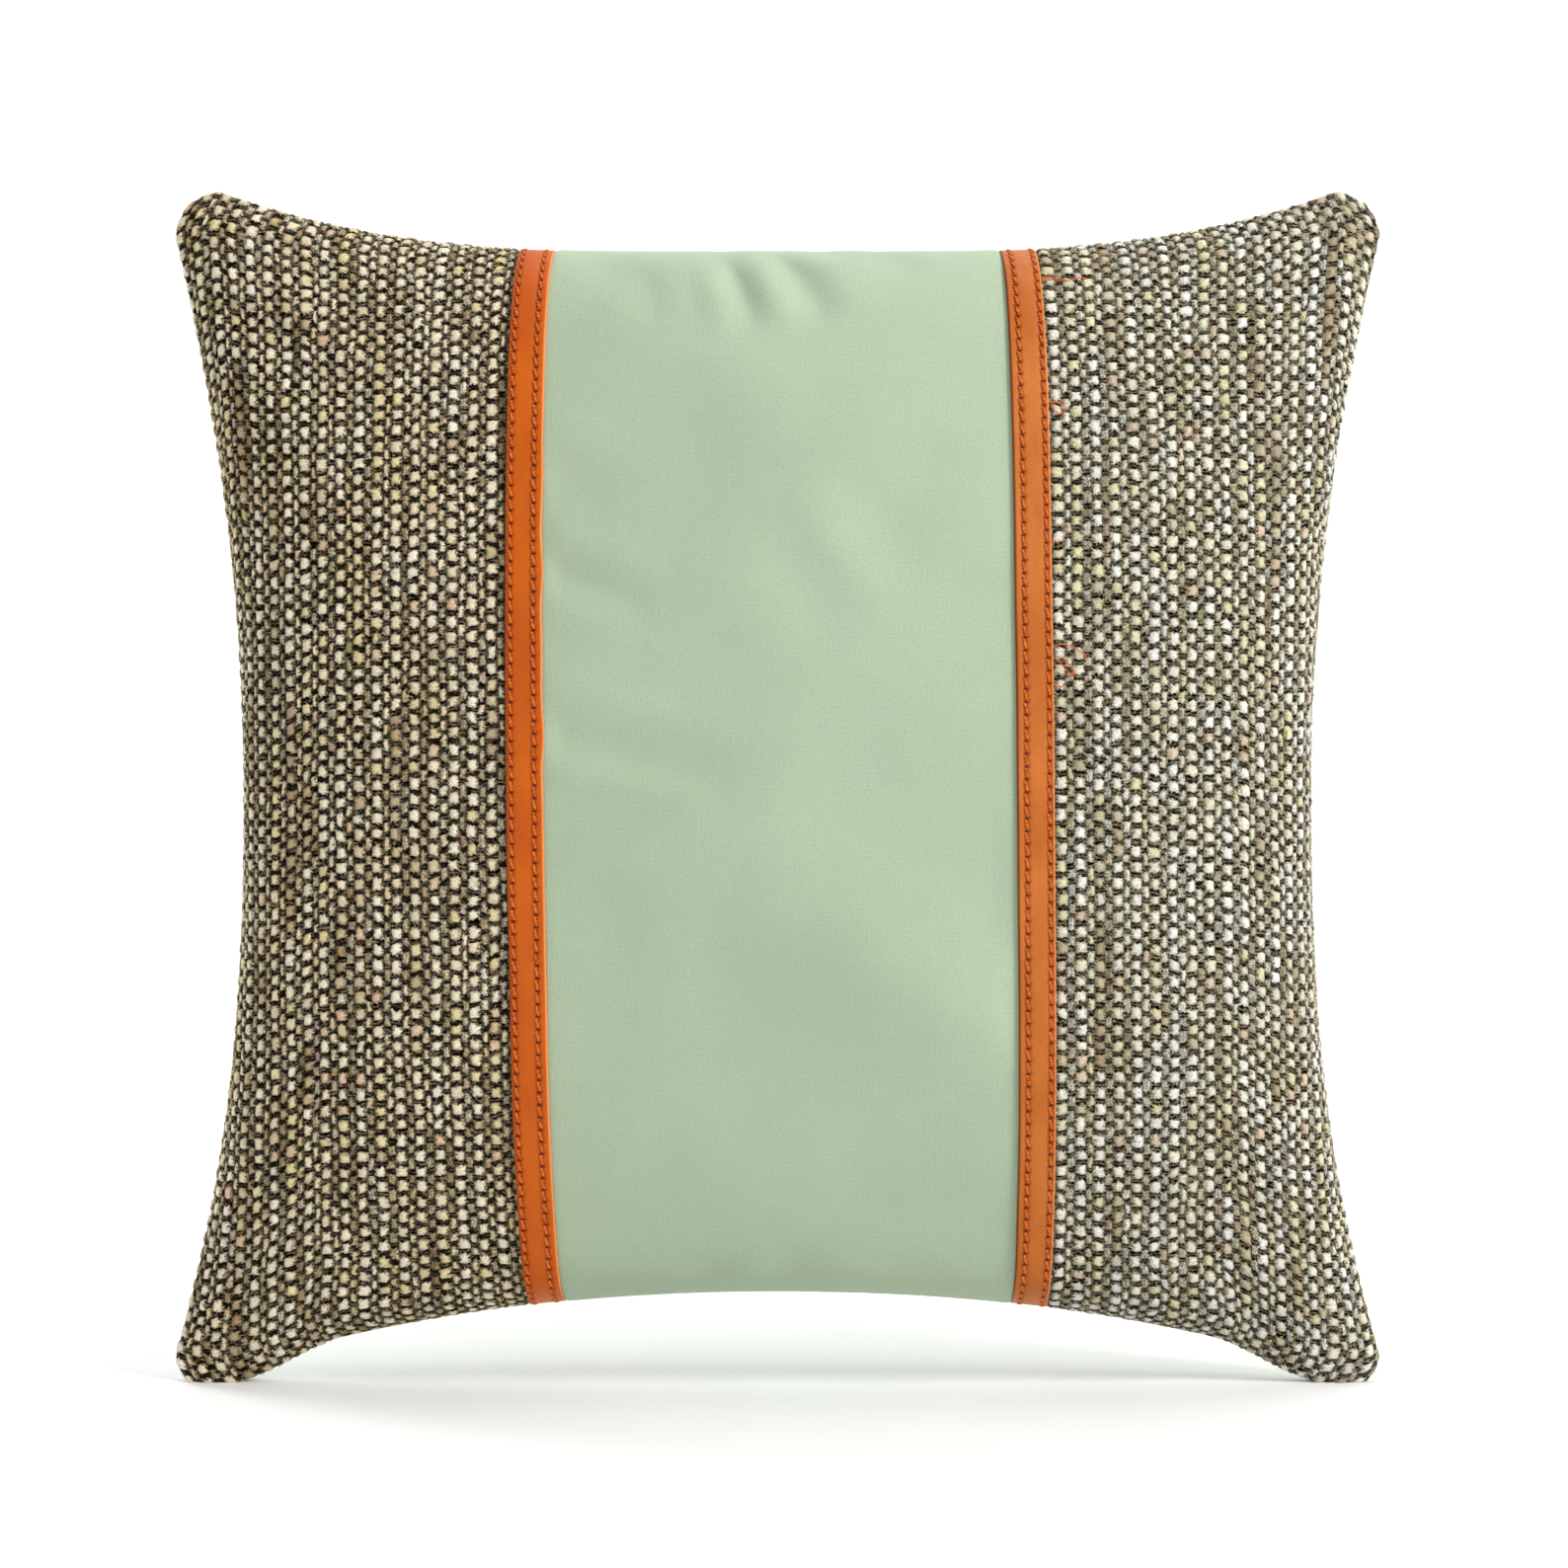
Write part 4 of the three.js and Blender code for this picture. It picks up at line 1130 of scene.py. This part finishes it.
def leather_strip(sign, name):
    share = np.linspace(0, 1, STRIP_ROWS + 1)[:, None]
    across = np.sin(np.linspace(-0.5, 0.5, STRIP_COLUMNS + 1) * np.pi)[None, :] * 0.35
    across = across + 0.65 * np.linspace(-1, 1, STRIP_COLUMNS + 1)[None, :]
    seed = 70 + sign
    wander = 0.22 * noise(share * 9, 0.5, seed)
    offset = across * STRIP_WIDTH / 2
    length = strip_length(sign)
    u, v = strip_uv(sign, offset + wander, share)
    lift, hole = leather_lift(sign, offset + 0 * share, share * length)
    # Signed share of the rims: the material paints a highlight on the right edge and shade on the left one.
    edge = np.sign(across) * np.clip((np.abs(across) - 0.80) / 0.20, 0, 1) + 0 * share
    rumple = 0.10 * noise(share * 60, across * 1.5, seed + 5)
    rise = strip_rise(u, v)
    outer = cover_point(u, v, FRONT, (STRIP_SEAT + lift + rumple) * rise)
    inner = cover_point(u[::4, ::4], v[::4, ::4], FRONT, STRIP_SEAT * rise[::4, ::4] - 0.05)
    uv = np.stack([offset + 0 * share, share * length + 0 * offset], axis=-1)
    made = slab(name, outer, inner, 4, uv, [("edge", edge), ("hole", np.minimum(hole * 1.1, 1))], facing=1)
    return place(made, left_leather if sign < 0 else right_leather_with_painted_sheen, "tan_leather", name)


def stitch(sign, row, start, rng):
    """Both plies of one stitch between its two holes."""
    length = strip_length(sign)
    t = np.linspace(0, 1, 11)
    along = start + STITCH_SHORT + t * (PITCH - 2 * STITCH_SHORT)
    slant = lerp(STITCH_SLANT, -STITCH_SLANT, t) + rng.normal(0, 0.05)
    arch = STITCH_ARCH * np.sin(np.pi * t) ** 0.7 - STITCH_DIP * (1 - np.sin(np.pi * t)) ** 4
    phase = rng.uniform(-0.3, 0.3)
    plies = []
    for half in (0, math.pi):
        turn = half + phase + t * 2.1 * math.pi
        side_shift = PLY_APART * np.cos(turn)
        u, v = strip_uv(sign, row + slant + side_shift, along / length)
        height = STRIP_SEAT + LEATHER - GROOVE + arch + 0.22 * np.sin(turn)
        points = cover_point(u, v, FRONT, height * strip_rise(u, v))
        plies.append(tube(points, PLY_RADIUS, 7))
    return plies


def loose_end(start, path):
    """A loose end of the stitching thread, on the tweed; path is in millimetres from the strip's edge."""
    steps = np.linspace(0, 1, 4 * len(path))
    keys = np.linspace(0, 1, len(path))
    off = np.interp(steps, keys, [p[0] for p in path])
    rise = np.interp(steps, keys, [p[1] for p in path])
    for _ in range(3):
        off[1:-1] = (off[:-2] + 2 * off[1:-1] + off[2:]) / 4
        rise[1:-1] = (rise[:-2] + 2 * rise[1:-1] + rise[2:]) / 4
    length = strip_length(1)
    u, v = strip_uv(1, STRIP_WIDTH / 2 + off, (start + rise) / length)
    lift = LOOSE_LIFT + 0.35 * np.sin(steps * 9)
    return tube(cover_point(u, v, FRONT, lift), LOOSE_RADIUS, 7)


# Loose ends beside the right strip: height along the strip as a share, then [across, up] points.
LOOSE_ENDS = [
    (0.925, [(-0.8, 0), (3, 1.0), (8, -0.6), (13, 0.8), (17, 0.2)]),
    (0.921, [(-0.8, 0), (2, 1.6), (6, 2.2), (9, 1.0)]),
    (0.806, [(-0.8, 1), (2, 1.8), (5, 0.8), (6.5, -1.6), (4, -3.0), (1.5, -1.8), (1.0, 0.8)]),
    (0.690, [(-0.6, 0), (1.8, 0.8), (2.6, -0.8)]),
    (0.600, [(-0.8, 2), (3, 3), (7, 2.5), (10, 0.5), (12, -1.5)]),
    (0.597, [(-0.8, 0), (2.5, -2.2), (5, -5.5), (8.5, -7), (6.5, -3.5), (3, -0.5)]),
    (0.575, [(-0.6, 0), (2, -1.6), (4, -1.0)]),
]


def topstitch_row(sign, k, name):
    rng = np.random.default_rng(200 + 10 * sign + k)
    row = STITCH_ROWS[sign][k]
    length = strip_length(sign)
    plies = []
    start = (1.5 if k else 1) * PITCH
    while start + 1.5 * PITCH < length:
        plies += stitch(sign, row, start, rng)
        start += PITCH
    if name == "right_strip_outer_topstitch":
        plies += [loose_end(share * length, path) for share, path in LOOSE_ENDS]
    return place(tubes_object(name, plies), topstitch_thread, "topstitch_thread", name)


for sign, label in ((-1, "left"), (1, "right")):
    leather_strip(sign, f"leather_strip_{label}")
    for k in (0, 1):
        # On the left strip the outer row is the one at smaller x, on the right strip the one at larger x.
        which = "outer" if (k == 0) == (sign < 0) else "inner"
        topstitch_row(sign, k, f"{label}_strip_{which}_topstitch")

# ---------------------------------------------------------------- lockstitch in the seams

SEAM_PITCH = 3.0
SEAM_DEEP = 0.5          # how far inside the seam's edge the thread lies
SEAM_THREAD = 0.22       # its radius


def seam_row(name, u, v, pull):
    """Short stitches in the groove of a plain seam; pull is the direction into the pillow."""
    x, z = outline(u, v)
    line = np.stack([x, 0 * x, z], axis=-1)
    along = arc_lengths(line)
    inward = np.array(pull, float)
    tubes = []
    count = int(along[-1] / SEAM_PITCH)
    for k in range(count):
        t = (k + np.linspace(0.12, 0.88, 6)) * SEAM_PITCH
        points = np.stack([np.interp(t, along, line[:, c]) for c in range(3)], axis=-1)
        sag = (1 - np.sin(np.pi * np.linspace(0, 1, 6))) * 0.5
        points += inward * (SEAM_DEEP + sag)[:, None]
        points[:, 2] = np.maximum(points[:, 2], 0.4)
        tubes.append(tube(points, SEAM_THREAD, 6))
    return place(tubes_object(name, tubes), seam_thread, "seam_thread", name)


line = np.linspace(-0.985, 0.985, 300)
seam_row("left_seam_thread", np.full(300, -1.0), line, (1, 0, 0))
seam_row("right_seam_thread", np.full(300, 1.0), line, (-1, 0, 0))
seam_row("top_seam_thread", line, np.full(300, 1.0), (0, 0, -1))
for sign, label in ((-1, "left"), (1, "right")):
    short = sign * np.linspace(ZIP_HALF + ZIP_TAPER + 2, HALF_WIDTH * 0.975, 60) / HALF_WIDTH
    seam_row(f"bottom_{label}_seam_thread", short, np.full(60, -1.0), (0, 0, 1))

# ---------------------------------------------------------------- zipper

def zip_points(x, y, depth):
    """Points beside the bottom seam's arc: x along it, y across it and depth inside the seam edge."""
    x, y, depth = np.broadcast_arrays(np.asarray(x, float), np.asarray(y, float), np.asarray(depth, float))
    angle = np.arcsin(x / SEAM_RADIUS)
    reach = SEAM_RADIUS + depth
    return np.stack([reach * np.sin(angle), y, ZIPPER_ARCH - SEAM_RADIUS + reach * np.cos(angle)], axis=-1)


COIL_PITCH = 1.25
COIL_TURN = 14           # points to a turn
COIL_WIRE = 0.27
COIL_MARGIN = 0.6        # bare tape at each end
COIL_MIDDLE = (1.4, 6.25)    # middle of a turn, from the seam plane and inside the seam's edge
COIL_REACH = (0.72, 0.66)    # half a turn's width and depth


def zipper_coil(side, name):
    """A helix of flattened turns, with its teeth towards the seam plane."""
    turns = 2 * (COIL_HALF - COIL_MARGIN) / COIL_PITCH
    t = np.arange(int(turns * COIL_TURN) + 1) / COIL_TURN
    turn = 2 * np.pi * (t + (0.5 if side > 0 else 0))
    across = np.sign(np.cos(turn)) * np.abs(np.cos(turn)) ** 0.7
    deep = np.sign(np.sin(turn)) * np.abs(np.sin(turn)) ** 0.8
    x = -COIL_HALF + COIL_MARGIN + t * COIL_PITCH + 0.10 * np.sin(turn)
    y = side * (COIL_MIDDLE[0] + COIL_REACH[0] * across)
    points = zip_points(x, y, COIL_MIDDLE[1] + COIL_REACH[1] * deep)
    return place(tubes_object(name, [tube(points, COIL_WIRE, 6)]), nylon, "zipper_coil", name)


def profile_bar(name, section, x):
    """A bar of closed section along the seam. The section is [across, depth] points."""
    section = np.asarray(section, float)
    rings = zip_points(x[:, None], section[None, :, 0], section[None, :, 1])
    quads, caps = ring_faces(len(x), len(section))
    around = np.concatenate([[0], np.cumsum(np.linalg.norm(np.diff(section, axis=0), axis=1))])
    uv = np.stack(np.meshgrid(around, x), axis=-1)
    area = np.sum(section[:, 0] * np.roll(section[:, 1], -1) - np.roll(section[:, 0], -1) * section[:, 1])
    faces = [quads, caps] if area > 0 else [quads[:, ::-1], caps[:, ::-1]]
    return mesh_object(name, rings, faces, uv, smooth_faces=False)


def rounded(corners, radius, steps=3):
    """A closed outline with each corner turned over a radius."""
    corners = np.asarray(corners, float)
    out = []
    for before, here, after in zip(np.roll(corners, 1, axis=0), corners, np.roll(corners, -1, axis=0)):
        to_before, to_after = before - here, after - here
        r = min(radius, np.linalg.norm(to_before) * 0.45, np.linalg.norm(to_after) * 0.45)
        start = here + to_before / np.linalg.norm(to_before) * r
        end = here + to_after / np.linalg.norm(to_after) * r
        for t in np.linspace(0, 1, steps):
            out.append((1 - t) ** 2 * start + 2 * t * (1 - t) * here + t * t * end)
    return np.array(out)


TAPE_SECTION = [[0.5, 7.5], [3.7, 7.5], [3.7, 14], [2.95, 14], [2.95, 8.3], [0.5, 8.3]]
STOP_SECTION = [[-2.6, 5], [2.6, 5], [2.6, 7.1], [-2.6, 7.1]]
STOP_MIDDLE = 6.05       # depth of that section's middle


def zipper_tape(side, name):
    section = rounded([[side * y, d] for y, d in TAPE_SECTION], 0.3)
    made = profile_bar(name, section, np.linspace(-TAPE_HALF, TAPE_HALF, 241))
    return place(made, tape_cloth, "zipper_tape", name)


def zipper_stop(sign, name):
    """A crimped metal clip, pinched in the middle of its length."""
    start = sign * (COIL_HALF + STOP_GAP)
    x = np.sort(start + sign * np.linspace(0, STOP_LENGTH, 13))
    section = rounded(STOP_SECTION, 0.7, 5)
    made = profile_bar(name, section, x)
    share = np.linspace(-1, 1, 13)
    for k in range(13):
        pinch = (1 - 0.13 * math.exp(-(share[k] / 0.35) ** 2)) * (1 - 0.16 * abs(share[k]) ** 6)
        ring = zip_points(x[k], section[:, 0] * pinch, STOP_MIDDLE + (section[:, 1] - STOP_MIDDLE) * pinch)
        for c, point in enumerate(ring):
            made.data.vertices[k * len(section) + c].co = Vector(point * MM)
    for face in made.data.polygons:
        face.use_smooth = True
    return place(made, metal, "zipper_metal", name)


zipper_tape(FRONT, "zipper_tape_front")
zipper_tape(BACK, "zipper_tape_back")
zipper_coil(FRONT, "zipper_coil_front")
zipper_coil(BACK, "zipper_coil_back")
zipper_stop(1, "zipper_stop_closed_end")
zipper_stop(-1, "zipper_stop_open_end")


def bevelled_copy(node, body, width):
    """A copy of a node's own mesh with its edges rounded."""
    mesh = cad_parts[node].data.copy()
    mesh.name = f"{node}_body"
    made = link(f"{node}_cast", mesh)
    made.data.materials.clear()
    weld = made.modifiers.new("Weld", "WELD")
    weld.merge_threshold = 0.005 * MM
    bevel = made.modifiers.new("Bevel", "BEVEL")
    bevel.width = width * MM
    bevel.segments = 3
    bevel.limit_method = "ANGLE"
    bevel.angle_limit = math.radians(40)
    for face in made.data.polygons:
        face.use_smooth = True
    return place(made, metal, "zipper_metal", node, body=body)


bevelled_copy("zip_slider", "slider", 0.12)
bevelled_copy("pull_tab", "tab", 0.14)

# ---------------------------------------------------------------- insert

INSERT_SIDE, INSERT_TOP, INSERT_BOTTOM = 0.95, 0.95, -0.8
CLEARANCE = 0.35
TICKING = 0.8
TICKING_INSET, FILLING_INSET = 2.5, 5.0
FILL_SHARE = 0.97
INSERT_CELLS = 96


def insert_points(s, t, share, side, depth, lift):
    u = INSERT_SIDE * share * s
    v = lerp(INSERT_BOTTOM, INSERT_TOP, (share * t + 1) / 2)
    x, z = outline(u, v)
    bowl = crown_share(s) * crown_share(t)
    point = np.stack([x, side * (depth * bowl + lift), z], axis=-1)
    point[..., 1] += (surface(u, v, side) - form(u, v, side))[..., 1] * np.minimum(bowl * 2, 1)
    return point, bowl


def insert_grid():
    places = np.sin(np.pi * np.linspace(-0.5, 0.5, INSERT_CELLS + 1))
    return np.meshgrid(lerp(places, np.linspace(-1, 1, INSERT_CELLS + 1), 0.4), places)


def ticking(side, name):
    s, t = insert_grid()
    sheets = []
    pucker = -0.9 * np.abs(noise(s * 9, t * 9, 90 + side)) * crown_share(s) * crown_share(t)
    for lift in (CLEARANCE + TICKING, CLEARANCE):
        point, _ = insert_points(s, t, 1, side, HALF_THICKNESS - TICKING_INSET, lift)
        point[..., 1] += side * pucker
        sheets.append(point)
    uv = np.stack([(s + 1) * 217, (t + 1) * 200], axis=-1)
    made = slab(name, sheets[0], sheets[1][::4, ::4], 4, uv, facing=1 if side == FRONT else -1)
    return place(made, ticking_cloth, "ticking", name)


def filling(name):
    """One lumpy body of fibre, front and back meeting in a rim."""
    s, t = insert_grid()
    halves = []
    for side in (FRONT, BACK):
        point, bowl = insert_points(s, t, FILL_SHARE, side, HALF_THICKNESS - FILLING_INSET, 2 * CLEARANCE)
        lumps = noise(s * 6, t * 6, 95 + side) + 0.5 * noise(s * 14, t * 14, 97 + side)
        point[..., 1] -= side * (1.2 + 1.1 * lumps) * np.minimum(bowl * 1.5, 1)
        halves.append(point)
    made = slab(name, halves[0], halves[1], 1, facing=1)
    return place(made, fibre, "fibre", name)


ticking_front = ticking(FRONT, "insert_front_ticking")
ticking_back = ticking(BACK, "insert_back_ticking")
stuffing = filling("fibre_filling")

# ---------------------------------------------------------------- floor, light and camera

VIEW_WIDTH = 0.5807      # width of the view at the seam plane
DISTANCE = 1.05
CAMERA_X, CAMERA_HEIGHT = 0.0024, 0.221
SENSOR = 36
WORLD_STRENGTH = 0.47
CENTRE = (0, 0, 0.22)    # where the lights point


def stage_sheet():
    """A pale floor that curves up into a backdrop."""
    profile = [(-2.5, 0.0), (0.9, 0.0)]
    profile += [(0.9 + 0.9 * math.sin(t), 0.9 - 0.9 * math.cos(t)) for t in np.linspace(0.1, math.pi / 2, 12)]
    profile += [(1.8, 3.5)]
    points = [(x, y, z) for y, z in profile for x in (-4.0, 4.0)]
    faces = np.array([[2 * k, 2 * k + 1, 2 * k + 3, 2 * k + 2] for k in range(len(profile) - 1)])
    sheet = mesh_object("studio_sweep", np.array(points) / MM, [faces])
    m = Material("studio_paper", {"Roughness": 0.9})
    grain = m.noise(m.place(), 900.0, 3.0)
    sheet.data.materials.append(m.finish(m.mix(grain, rgb(243, 243, 243), rgb(250, 250, 250))))


def area_light(name, place_at, target, size, power):
    light = bpy.data.lights.new(name, "AREA")
    light.shape = "DISK"
    light.size = size
    light.energy = power
    lamp = link(name, light)
    lamp.location = place_at
    lamp.rotation_euler = (Vector(target) - Vector(place_at)).to_track_quat("-Z", "Y").to_euler()


stage_sheet()
area_light("key_light", (1.85, -1.20, 1.45), CENTRE, 0.8, 54)
area_light("fill_light", (-1.6, -1.5, 0.7), CENTRE, 1.6, 5)
area_light("top_light", (0.2, 0.3, 1.9), CENTRE, 1.4, 14)
area_light("rear_light", (-1.5, 1.0, 1.1), CENTRE, 0.8, 15)

world = bpy.data.worlds.new("studio")
world.use_nodes = True
background = world.node_tree.nodes["Background"]
background.inputs["Color"].default_value = (1, 1, 1, 1)
background.inputs["Strength"].default_value = WORLD_STRENGTH
bpy.context.scene.world = world

camera_data = bpy.data.cameras.new("camera")
camera_data.sensor_width = SENSOR
camera_data.lens = SENSOR * DISTANCE / VIEW_WIDTH
camera = link("camera", camera_data)
camera.location = (CAMERA_X, -DISTANCE, CAMERA_HEIGHT)
camera.rotation_euler = (math.pi / 2, 0, 0)
bpy.context.scene.camera = camera
bpy.context.scene.view_settings.view_transform = "Standard"
bpy.context.scene.view_settings.look = "None"

bpy.context.view_layer.update()
